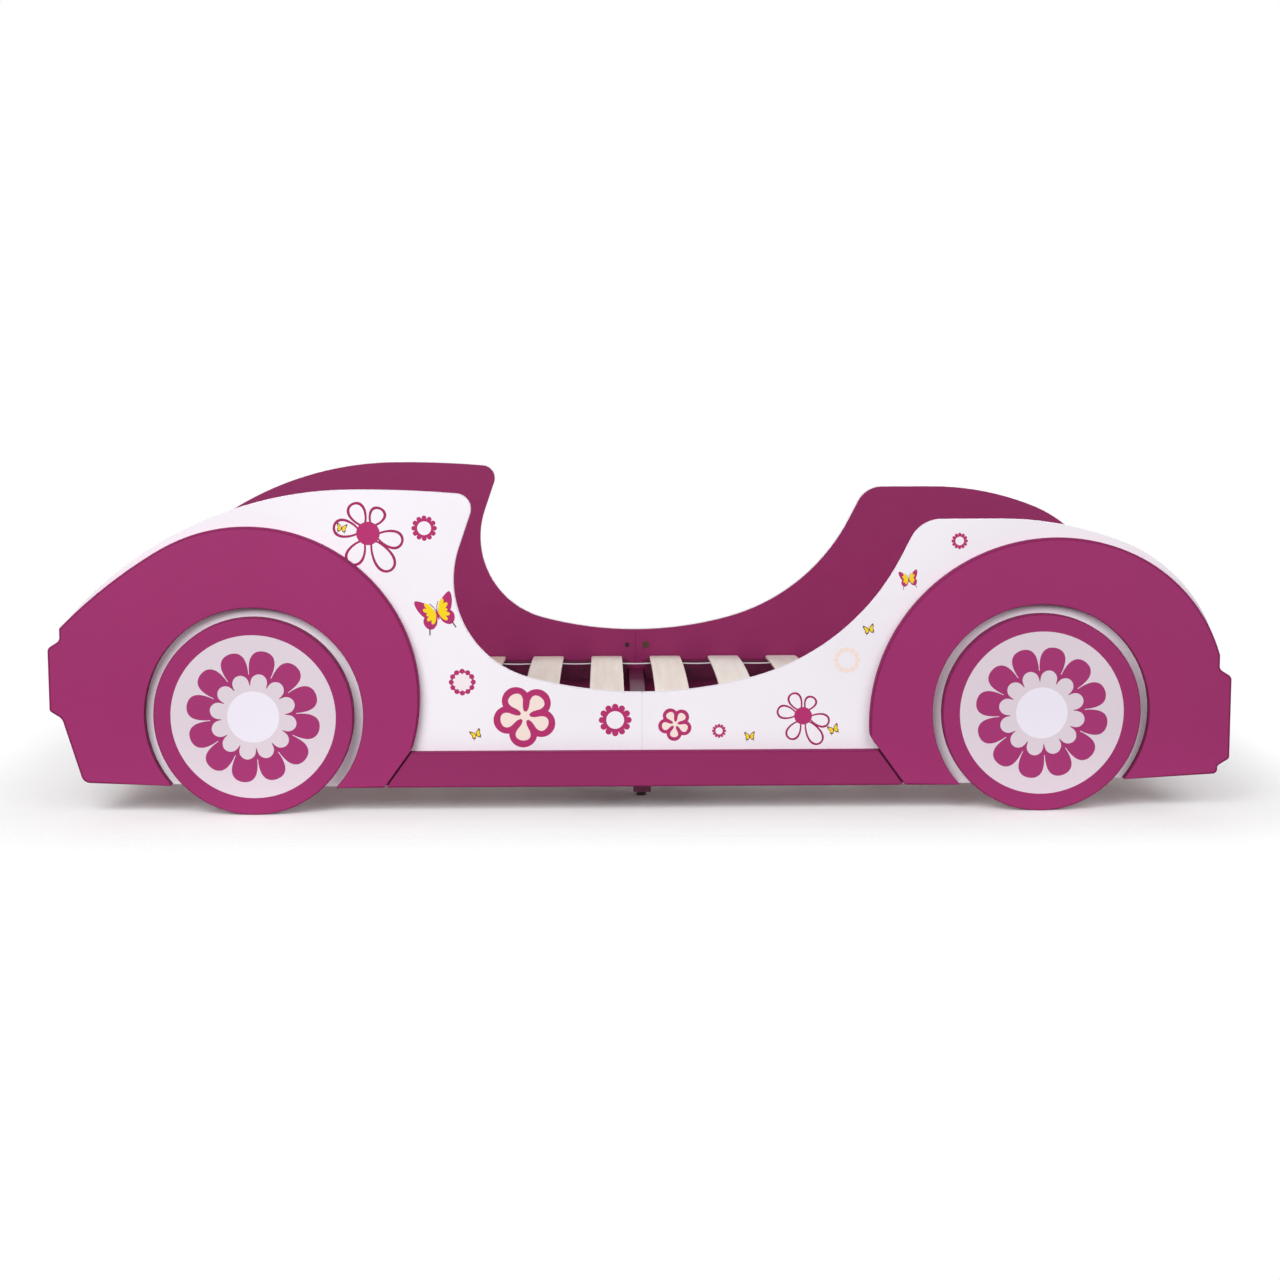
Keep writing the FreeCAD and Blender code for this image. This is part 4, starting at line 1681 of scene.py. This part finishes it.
@dataclass
class SlattedBase:
    """Sixteen bowed birch slats on two woven tapes."""

    count: int = 16
    thickness: float = 8.0 * MM
    edge_round: float = 2.6 * MM
    end_corner: float = 7.0 * MM
    end_turn: float = math.radians(75)
    end_bevel: float = 1.2 * MM
    rows: int = 36
    sag: float = 0.9 * MM
    sag_steps: int = 12
    tape_thickness: float = 1.2 * MM
    wire: float = 0.5 * MM
    wire_sides: int = 8
    leg: float = 6.5 * MM
    knee_share: float = 0.3

    @staticmethod
    def node(number: int) -> str:
        """Name one slat's node."""
        return f"slat_{number:02d}"

    def bow(self, y: float) -> Spot:
        """Find how high a slat's underside lies.

        Args:
            y: Distance from the middle of the bed.

        Returns:
            The height and its slope there.
        """
        low, high = packed_box(self.node(1))
        rise = high.z - low.z - self.thickness
        half = high.y
        radius = (half * half + rise * rise) / (2 * rise)
        drop = math.sqrt(radius * radius - y * y)
        return low.z + rise - radius + drop, -y / drop

    def section(self, half: float, inset: float) -> list[tuple[Spot, Spot]]:
        """Draw a slat's rounded section.

        Args:
            half: Half its width.
            inset: How far it is drawn in all round.

        Returns:
            Spots across and up from the underside, each with its outward direction.
        """
        drawn = []
        reach = self.edge_round
        corners = ((1, 1, 0), (-1, 1, 90), (-1, 0, 180), (1, 0, 270))
        for across, up, start in corners:
            for step in range(CORNER_STEPS):
                angle = math.radians(start + 90 * step / (CORNER_STEPS - 1))
                look = (math.cos(angle), math.sin(angle))
                u = across * (half - reach) + look[0] * (reach - inset)
                v = (self.thickness - reach if up else reach) + look[1] * (reach - inset)
                drawn.append(((u, v), look))
        return drawn

    def stations(self, half: float) -> list[Triple]:
        """List where a slat's sections stand.

        Args:
            half: Half the slat's length.

        Returns:
            Place along the slat, how far its sides are drawn in there, and how far they turn to the end.
        """
        inner = half - self.end_corner
        spread = [(-inner + 2 * inner * row / self.rows, 0.0, 0.0) for row in range(self.rows + 1)]
        bend = []
        for step in range(1, CORNER_STEPS + 1):
            turn = self.end_turn * step / CORNER_STEPS
            y = inner + (self.end_corner - self.end_bevel) * math.sin(turn) / math.sin(self.end_turn)
            bend.append((y, self.end_corner * (1 - math.cos(turn)), turn))
        before = [(-y, draw_in, -turn) for y, draw_in, turn in reversed(bend)]
        return [*before, *spread, *bend]

    def slat(self, number: int) -> bpy.types.Object:
        """Build one slat.

        Args:
            number: Its place from the head.

        Returns:
            The slat.
        """
        draft = Draft()
        low, high = packed_box(self.node(number))
        centre = (low.x + high.x) / 2
        half_width = (high.x - low.x) / 2
        # The woods follow one another unevenly
        wood = Look.BIRCHES[(number * number + number // 3) % len(Look.BIRCHES)]
        stations = self.stations(high.y)
        rings = []
        for y, draw_in, turn in stations:
            height, slope = self.bow(y)
            ring = []
            for (u, v), (look_u, look_v) in self.section(half_width - draw_in, 0.0):
                looks = Vector((
                    look_u * math.cos(turn), abs(look_u) * math.sin(turn) - slope * look_v, look_v
                ))
                ring.append(draft.add(Vector((centre + u, y, height + v)), looks, (y, v / self.thickness)))
            rings.append(ring)
        size = len(rings[0])
        on_side = [index for index in range(size) if index % (size // 2) == 0]
        for near, far in zip(rings, rings[1:]):
            for index in range(size):
                corners = (near[index - 1], near[index], far[index], far[index - 1])
                draft.face(corners, Look.PLY if index in on_side else wood)
        end_half = half_width - stations[-1][1]
        for y, ring, sign in ((low.y, rings[0], -1), (high.y, rings[-1], 1)):
            height = self.bow(y)[0]
            rim = []
            for (u, v), _ in self.section(end_half, self.end_bevel):
                spot = Vector((centre + u, y, height + v))
                rim.append(draft.add(spot, Vector((0, sign, 0)), (y, v / self.thickness)))
            draft.bridge(ring, rim, Look.PLY)
            draft.face(rim, Look.PLY)
        return draft.piece(f"{self.node(number)}_wood")

    def tape_places(self) -> list[Spot]:
        """List where a tape's sections stand.

        Returns:
            Their places along the bed, each with how far the tape sags there.
        """
        places = []
        for number in range(1, self.count + 1):
            low, high = packed_box(self.node(number))
            places += [(low.x, 0.0), ((low.x + high.x) / 2, 0.0), (high.x, 0.0)]
            if number < self.count:
                gap = packed_box(self.node(number + 1))[0].x - high.x
                for step in range(1, self.sag_steps):
                    share = step / self.sag_steps
                    places.append((high.x + gap * share, self.sag * 4 * share * (1 - share)))
        return places

    def tape(self, side: Side) -> bpy.types.Object:
        """Build one woven tape, drawn tight under the slats and slack between them.

        Args:
            side: The side that it lies on.

        Returns:
            The tape.
        """
        draft = Draft()
        node = f"{side.word}_slat_tape"
        low, high = packed_box(node)
        half = self.tape_thickness / 2
        gap = self.bow(side.inner_level(node))[0] - high.z
        edges = (
            (low.y, 0, 180), (low.y + half, 1, 90), (high.y - half, 1, 90),
            (high.y, 0, 0), (high.y - half, -1, 270), (low.y + half, -1, 270),
        )
        rings = []
        for place, sag in self.tape_places():
            x = min(max(place, low.x), high.x)
            ring = []
            for y, up, lean in edges:
                height = self.bow(y)[0] - gap - half - sag + up * half
                looks = Vector((0, math.cos(math.radians(lean)), math.sin(math.radians(lean))))
                ring.append(draft.add(Vector((x, y, height)), looks, (x, y)))
            rings.append(ring)
        draft.loft(rings, Look.TAPE)
        for ring, sign in ((rings[0], -1), (rings[-1], 1)):
            draft.cap(ring, Vector((sign, 0, 0)), Look.TAPE)
        return draft.piece(f"{node}_webbing")

    def staple(self, draft: Draft, low: Vector, high: Vector) -> None:
        """Add one wire staple with its crown under the tape and its legs up in the slat.

        Args:
            draft: The mesh that gets it.
            low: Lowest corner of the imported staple.
            high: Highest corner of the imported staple.
        """
        y = (low.y + high.y) / 2
        start = low.x + self.wire
        crown = low.z + self.wire
        bend = 2 * self.wire
        knee = self.knee_share * bend
        path = [(start, crown + self.leg), (start, crown + bend)]
        path += [(start + knee, crown + knee), (start + bend, crown)]
        path += [(low.x + high.x - x, height) for x, height in reversed(path)]
        rings = []
        for index, (x, height) in enumerate(path):
            before = path[max(index - 1, 0)]
            after = path[min(index + 1, len(path) - 1)]
            along = Vector((after[0] - before[0], 0, after[1] - before[1])).normalized()
            across = Vector((0, 1, 0))
            up = across.cross(along)
            ring = []
            for angle in full_turn(self.wire_sides):
                out = across * math.cos(angle) + up * math.sin(angle)
                ring.append(draft.add(Vector((x, y, height)) + out * self.wire, out))
            rings.append(ring)
        draft.loft(rings, Look.STEEL)
        for ring in (rings[0], rings[-1]):
            draft.cap(ring, Vector((0, 0, 1)), Look.STEEL)

    def fit(self) -> None:
        """Build the slats, tapes and staples and set them on the lifting base."""
        for number in range(1, self.count + 1):
            deliver(self.slat(number), Body.BASE, Slot.BIRCH, self.node(number))
        for side in Side:
            node = f"{side.word}_slat_tape"
            low, high = packed_box(node)
            tape = deliver(self.tape(side), Body.BASE, Slot.TAPE, node)
        draft = Draft()
        for low, high in loose_boxes("tape_staples"):
            self.staple(draft, low, high)
        deliver(draft.piece("tape_staple_wires"), Body.BASE, Slot.STEEL, "tape_staples")


# Fittings


class Recess(Enum):
    """What a driver fits in a fitting's face."""

    CROSS = "cross"
    SLOT = "slot"

    def outline(self, length: float, width: float) -> Outline:
        """Draw the recess about the origin.

        Args:
            length: Of each arm, tip to tip.
            width: Of each arm.

        Returns:
            The outline.
        """
        far = length / 2
        near = width / 2
        if self is Recess.SLOT:
            return [(-far, -near), (far, -near), (far, near), (-far, near)]
        quarter = [(near, near), (near, far), (-near, far)]
        return [spot for turn in (0, 90, 180, 270) for spot in placed(quarter, turn=turn)]


@dataclass(frozen=True)
class Turned:
    """A turned fitting with a driver recess in its face."""

    radius: float
    length: float
    look: Finish
    recess: Recess
    recess_share: float = 1.25
    arm_share: float = 0.3
    recess_depth: float = 2.5 * MM
    edge: float = 0.5 * MM
    shoulder_share: float = 0.3
    turn: float = 0.0

    def add(self, draft: Draft, facing: Facing, spot: Spot, level: float) -> None:
        """Add the fitting to a mesh.

        Args:
            draft: The mesh that gets it.
            facing: The direction that its face looks in.
            spot: The face's centre.
            level: The face's place along that axis.
        """
        centre = facing.point(spot, level)
        shoulder = self.shoulder_share * self.edge
        profile = [
            (self.radius - self.edge, -self.length, -90), (self.radius, -self.length + self.edge, 0),
            (self.radius, -self.edge, 0), (self.radius - shoulder, -shoulder, 45),
        ]
        rings = turn_profile(draft, centre, facing.normal, profile, self.look)
        draft.face(rings[0], self.look)
        inner = circle(self.radius - self.edge, spot, TURNED_STEPS)
        ring = [draft.add(facing.point(place, level), facing.normal) for place in inner]
        first, second = (draft.points[corner] for corner in rings[-1][:2])
        gaps = [(draft.points[corner] - first).length for corner in ring]
        start = gaps.index(min(gaps))
        forward = (draft.points[ring[(start + 1) % TURNED_STEPS]] - second).length
        backward = (draft.points[ring[start - 1]] - second).length
        step = 1 if forward < backward else -1
        matched = [ring[(start + step * index) % TURNED_STEPS] for index in range(TURNED_STEPS)]
        draft.bridge(rings[-1], matched, self.look)
        span = self.radius * self.recess_share
        hole = placed(self.recess.outline(span, self.radius * self.arm_share), spot, self.turn)
        fill_face(draft, facing, level, (inner, ring), self.look, [hole])
        sink(draft, facing, level, hole, self.recess_depth, self.look)


@dataclass
class Hardware:
    """Cam locks, barrel nuts, bolts, dowels, screws and the feet of the beam."""

    screw: Turned = Turned(
        3.8 * MM, 1.0 * MM, Look.DARK_STEEL, Recess.CROSS, recess_depth=1.4 * MM, edge=0.35 * MM
    )
    screw_proud: float = 0.5 * MM
    ledge_screws: int = 5
    sill_screws: int = 4
    wheel_screw_share: float = 0.5
    wheel_screw_turns: Triple = (30, 90, 150)
    fender_screw_share: float = 1.4
    fender_screw_turns: Triple = (62, 98, 134)
    lock_length: float = 11.0 * MM
    rod_bevel_share: float = 0.25
    bolt_steps: int = 24
    thread_crests: int = 10
    thread_root_share: float = 0.84
    dowel_steps: int = 64
    dowel_flutes: int = 16
    flute_depth: float = 0.3 * MM
    foot_steps: int = 48
    foot_neck_share: float = 0.75
    foot_stem_share: float = 0.5
    foot_sole_round: float = 1.2 * MM
    foot_taper: float = 0.4 * MM
    foot_edge: float = 0.8 * MM
    foot_collar: float = 0.5 * MM

    def inward(self, low: Vector, high: Vector) -> tuple[Facing, Spot, float]:
        """Find the face of a fitting that looks to the inside of the bed.

        Args:
            low: The fitting's lowest corner.
            high: Its highest corner.

        Returns:
            The face's direction, its centre and its level.
        """
        centre = (low + high) / 2
        size = high - low
        axis = min((0, 1), key=lambda index: abs(size[index] - self.lock_length))
        sign = -1.0 if centre[axis] > 0 else 1.0
        level = high[axis] if sign > 0 else low[axis]
        return Facing(axis, sign), (centre[1 - axis], centre.z), level

    def locks(self) -> None:
        """Build the cam locks and barrel nuts."""
        for node, look, slot, recess, turn in (
            ("cam_locks", Look.ZINC, Slot.ZINC, Recess.CROSS, 20.0),
            ("barrel_nuts", Look.DARK_STEEL, Slot.STEEL, Recess.SLOT, 90.0),
        ):
            draft = Draft()
            for low, high in loose_boxes(node):
                facing, spot, level = self.inward(low, high)
                radius = (high.z - low.z) / 2
                length = high[facing.axis] - low[facing.axis]
                Turned(radius, length, look, recess, turn=turn).add(draft, facing, spot, level)
            deliver(draft.piece(f"{node}_turned"), Body.FRAME, slot, node)

    def rods(self) -> None:
        """Build the bolts with rolled threads and the dowels with flutes."""
        for node, look, slot, flutes in (
            ("seam_bolts", Look.STEEL, Slot.STEEL, 0),
            ("end_board_bolts", Look.STEEL, Slot.STEEL, 0),
            ("dowels", Look.BEECH, Slot.BEECH, self.dowel_flutes),
        ):
            draft = Draft()
            for low, high in loose_boxes(node):
                size = high - low
                axis = max((0, 1), key=lambda index: size[index])
                along = Vector((1, 0, 0)) if axis == 0 else Vector((0, 1, 0))
                centre = (low + high) / 2
                centre[axis] = low[axis]
                profile = self.rod_profile((high.z - low.z) / 2, size[axis], flutes == 0)
                steps = self.dowel_steps if flutes else self.bolt_steps
                rings = turn_profile(draft, centre, along, profile, look, steps, flutes, self.flute_depth)
                draft.face(rings[0], look)
                draft.face(rings[-1], look)
            deliver(draft.piece(f"{node}_rods"), Body.FRAME, slot, node)

    def rod_profile(self, radius: float, length: float, threaded: bool) -> list[Triple]:
        """Draw a rod from end to end.

        Args:
            radius: Its radius.
            length: Its length.
            threaded: Whether its first half has a thread's crests.

        Returns:
            The profile for turning.
        """
        bevel = self.rod_bevel_share * radius
        profile = [(radius - bevel, 0.0, -90), (radius, bevel, 0)]
        if threaded:
            pitch = (length / 2 - 2 * bevel) / self.thread_crests
            for crest in range(self.thread_crests):
                start = bevel + pitch * crest
                profile.append((radius * self.thread_root_share, start + pitch / 2, 0))
                profile.append((radius, start + pitch, 0))
        return [*profile, (radius, length - bevel, 0), (radius - bevel, length, 90)]

    def feet(self) -> None:
        """Build the two screw-in feet under the centre beam."""
        draft = Draft()
        for low, high in loose_boxes("beam_feet"):
            base = (high.x - low.x) / 2
            neck = base * self.foot_neck_share
            stem = base * self.foot_stem_share
            waist = base
            top = high.z - low.z
            centre = Vector(((low.x + high.x) / 2, (low.y + high.y) / 2, low.z))
            profile = [
                (base - self.foot_sole_round, 0.0, -90), (base, self.foot_sole_round, 0),
                (base - self.foot_taper, 2 * self.foot_sole_round, 15),
                (neck, waist - self.foot_edge, 25), (neck - self.foot_edge, waist, 90),
                (stem, waist, 90), (stem, waist + self.foot_collar, 0),
                (stem, top - self.foot_edge, 0), (stem - self.foot_edge, top, 90),
            ]
            rings = turn_profile(draft, centre, Vector((0, 0, 1)), profile, Look.PLASTIC, self.foot_steps)
            draft.face(rings[0], Look.PLASTIC)
            draft.face(rings[-1], Look.PLASTIC)
        deliver(draft.piece("beam_feet_turned"), Body.FRAME, Slot.PLASTIC, "beam_feet")

    def screw_spots(self, side: Side, end: End) -> list[tuple[float, Spot]]:
        """List the screws on the inside of one panel half.

        Args:
            side: The panel's side.
            end: The panel's end.

        Returns:
            The level of each screw's seat and its spot.
        """
        stem = f"{side.word}_{end.word}"
        low, high = packed_box(f"{stem}_ledge")
        seat = side.inner_level(f"{stem}_ledge")
        spots = []
        for number in range(self.ledge_screws):
            share = (number + 0.5) / self.ledge_screws
            spots.append((seat, (low.x + (high.x - low.x) * share, (low.z + high.z) / 2)))
        seat = side.inner_level(f"{stem}_panel")
        low, high = packed_box(f"{stem}_wheel")
        centre = disc_centre(f"{stem}_wheel")
        for share, turns in (
            (self.wheel_screw_share, self.wheel_screw_turns),
            (self.fender_screw_share, self.fender_screw_turns),
        ):
            reach = (high.z - low.z) / 2 * share
            for turn in turns:
                angle = math.radians(turn if end is End.HEAD else 180 - turn)
                spot = (centre[0] + reach * math.cos(angle), centre[1] + reach * math.sin(angle))
                spots.append((seat, spot))
        low, high = packed_box(f"{side.word}_sill")
        for number in range(self.sill_screws):
            x = end.value * high.x * (number + 0.5) / self.sill_screws
            spots.append((seat, (x, (low.z + high.z) / 2)))
        return spots

    def screws(self) -> None:
        """Build the screws that hold ledges, wheels, fenders and sills from the inside."""
        for side in Side:
            draft = Draft()
            facing = Facing(1, -side.value)
            for end in End:
                for seat, spot in self.screw_spots(side, end):
                    self.screw.add(draft, facing, spot, seat + facing.sign * self.screw_proud)
            deliver(draft.piece(f"{side.word}_side_screws"), Body.FRAME, Slot.STEEL)

    def fit(self) -> None:
        """Build all the hardware and set it on the frame."""
        self.locks()
        self.rods()
        self.feet()
        self.screws()


# Studio


@dataclass(frozen=True)
class Softbox:
    """A large soft lamp aimed at the bed, with its bearing from the front and its elevation in degrees."""

    name: str
    bearing: float
    elevation: float
    power: float
    distance: float = 5.0
    width: float = 3.0

    def hang(self, target: Vector) -> None:
        """Add the lamp, aimed at a point.

        Args:
            target: The point.
        """
        bearing = math.radians(self.bearing)
        elevation = math.radians(self.elevation)
        away = Vector((
            math.sin(bearing) * math.cos(elevation),
            -math.cos(bearing) * math.cos(elevation),
            math.sin(elevation),
        ))
        lamp = bpy.data.lights.new(self.name, "AREA")
        lamp.shape = "SQUARE"
        lamp.size = self.width
        lamp.energy = self.power
        made = stand(self.name, lamp)
        made.location = target + away * self.distance
        made.rotation_euler = (-away).to_track_quat("-Z", "Y").to_euler()


@dataclass
class Studio:
    """A white floor, soft lamps all round and the photograph's camera."""

    camera_at: Triple = (-0.0626, -4.6897, 0.8625)
    pitch: float = 7.415
    yaw: float = 0.803
    roll: float = -0.167
    focal_pixels: float = 2349.0
    frame_pixels: float = 1280.0
    sensor: float = 36.0
    floor_size: float = 12.0
    floor_tone: tuple[float, ...] = (0.94, 0.94, 0.94, 1.0)
    floor_core: Triple = (0.92, 0.4, 0.0)
    floor_fade: Spot = (0.05, 0.4)
    sky: float = 0.11
    lamps: tuple[Softbox, ...] = (
        Softbox("key_lamp", -28.0, 30.0, 177.0),
        Softbox("fill_lamp", 34.0, 26.0, 84.0),
        Softbox("back_lamp", 152.0, 20.0, 70.0),
        Softbox("back_fill_lamp", -150.0, 20.0, 64.0),
        Softbox("foot_end_lamp", 92.0, 18.0, 38.0),
        Softbox("head_end_lamp", -92.0, 18.0, 38.0),
    )

    def camera(self) -> None:
        """Set up the camera at the photograph's viewing angle."""
        pitch, yaw, roll = (math.radians(angle) for angle in (self.pitch, self.yaw, self.roll))
        forward = Vector((
            math.sin(yaw) * math.cos(pitch), math.cos(yaw) * math.cos(pitch), -math.sin(pitch)
        ))
        level = Vector((math.cos(yaw), -math.sin(yaw), 0))
        upright = level.cross(forward)
        right = level * math.cos(roll) + upright * math.sin(roll)
        up = upright * math.cos(roll) - level * math.sin(roll)
        data = bpy.data.cameras.new("photo_camera")
        data.sensor_width = self.sensor
        data.lens = self.sensor * self.focal_pixels / self.frame_pixels
        made = stand("photo_camera", data)
        turned = Matrix((right, up, -forward)).transposed().to_4x4()
        made.matrix_world = Matrix.Translation(self.camera_at) @ turned
        bpy.context.scene.camera = made

    def floor(self) -> None:
        """Lay the pale floor, which fades out into the white surroundings."""
        half = self.floor_size / 2
        corners = [(-half, -half, 0), (half, -half, 0), (half, half, 0), (-half, half, 0)]
        mesh = bpy.data.meshes.new("studio_floor")
        mesh.from_pydata(corners, [], [(0, 1, 2, 3)])
        recipe = Recipe("studio_floor_paper")
        recipe.set(roughness=0.95, specular_ior_level=0.0)
        recipe.shader.inputs["Base Color"].default_value = self.floor_tone
        spot = recipe.place()
        for operation, amount in (("ABSOLUTE", None), ("SUBTRACT", self.floor_core), ("MAXIMUM", (0, 0, 0))):
            step = recipe.worked("ShaderNodeVectorMath", operation, spot)
            if amount:
                step.inputs[1].default_value = amount
            spot = step.outputs["Vector"]
        reach = recipe.worked("ShaderNodeVectorMath", "LENGTH", spot)
        fade = recipe.nodes.new("ShaderNodeMixShader")
        recipe.link(recipe.ranged(reach.outputs["Value"], self.floor_fade), fade.inputs["Fac"])
        recipe.link(recipe.shader.outputs["BSDF"], fade.inputs[1])
        recipe.link(recipe.nodes.new("ShaderNodeBsdfTransparent").outputs["BSDF"], fade.inputs[2])
        recipe.link(fade.outputs["Shader"], recipe.nodes["Material Output"].inputs["Surface"])
        mesh.materials.append(recipe.material)
        stand("studio_floor", mesh)

    def surroundings(self) -> None:
        """Light the scene evenly from a sky that the camera and reflections see as white."""
        world = bpy.data.worlds.new("studio")
        bpy.context.scene.world = world
        world.use_nodes = True
        nodes = world.node_tree.nodes
        links = world.node_tree.links
        light = nodes["Background"]
        seen = nodes.new("ShaderNodeBackground")
        for background, strength in ((light, self.sky), (seen, 1.0)):
            background.inputs["Color"].default_value = (1, 1, 1, 1)
            background.inputs["Strength"].default_value = strength
        path = nodes.new("ShaderNodeLightPath")
        factor = path.outputs["Is Camera Ray"]
        for name in ("Is Glossy Ray", "Is Transmission Ray"):
            either = nodes.new("ShaderNodeMath")
            either.operation = "MAXIMUM"
            links.new(factor, either.inputs[0])
            links.new(path.outputs[name], either.inputs[1])
            factor = either.outputs["Value"]
        choice = nodes.new("ShaderNodeMixShader")
        links.new(factor, choice.inputs["Fac"])
        links.new(light.outputs["Background"], choice.inputs[1])
        links.new(seen.outputs["Background"], choice.inputs[2])
        links.new(choice.outputs["Shader"], nodes["World Output"].inputs["Surface"])

    def set_up(self) -> None:
        """Build the whole studio."""
        low, high = CAD_BOX
        target = Vector(((low.x + high.x) / 2, (low.y + high.y) / 2, (low.z + high.z) / 2))
        self.camera()
        self.floor()
        self.surroundings()
        for lamp in self.lamps:
            lamp.hang(target)
        bpy.context.scene.view_settings.view_transform = "Standard"


def main() -> None:
    """Build the bed and its studio in order."""
    logging.basicConfig(level=logging.INFO, format="%(name)s: %(message)s")
    Studio().set_up()
    for assembly in (Carcass(), SlattedBase(), Hardware()):
        assembly.fit()


if __name__ == "__main__":
    main()
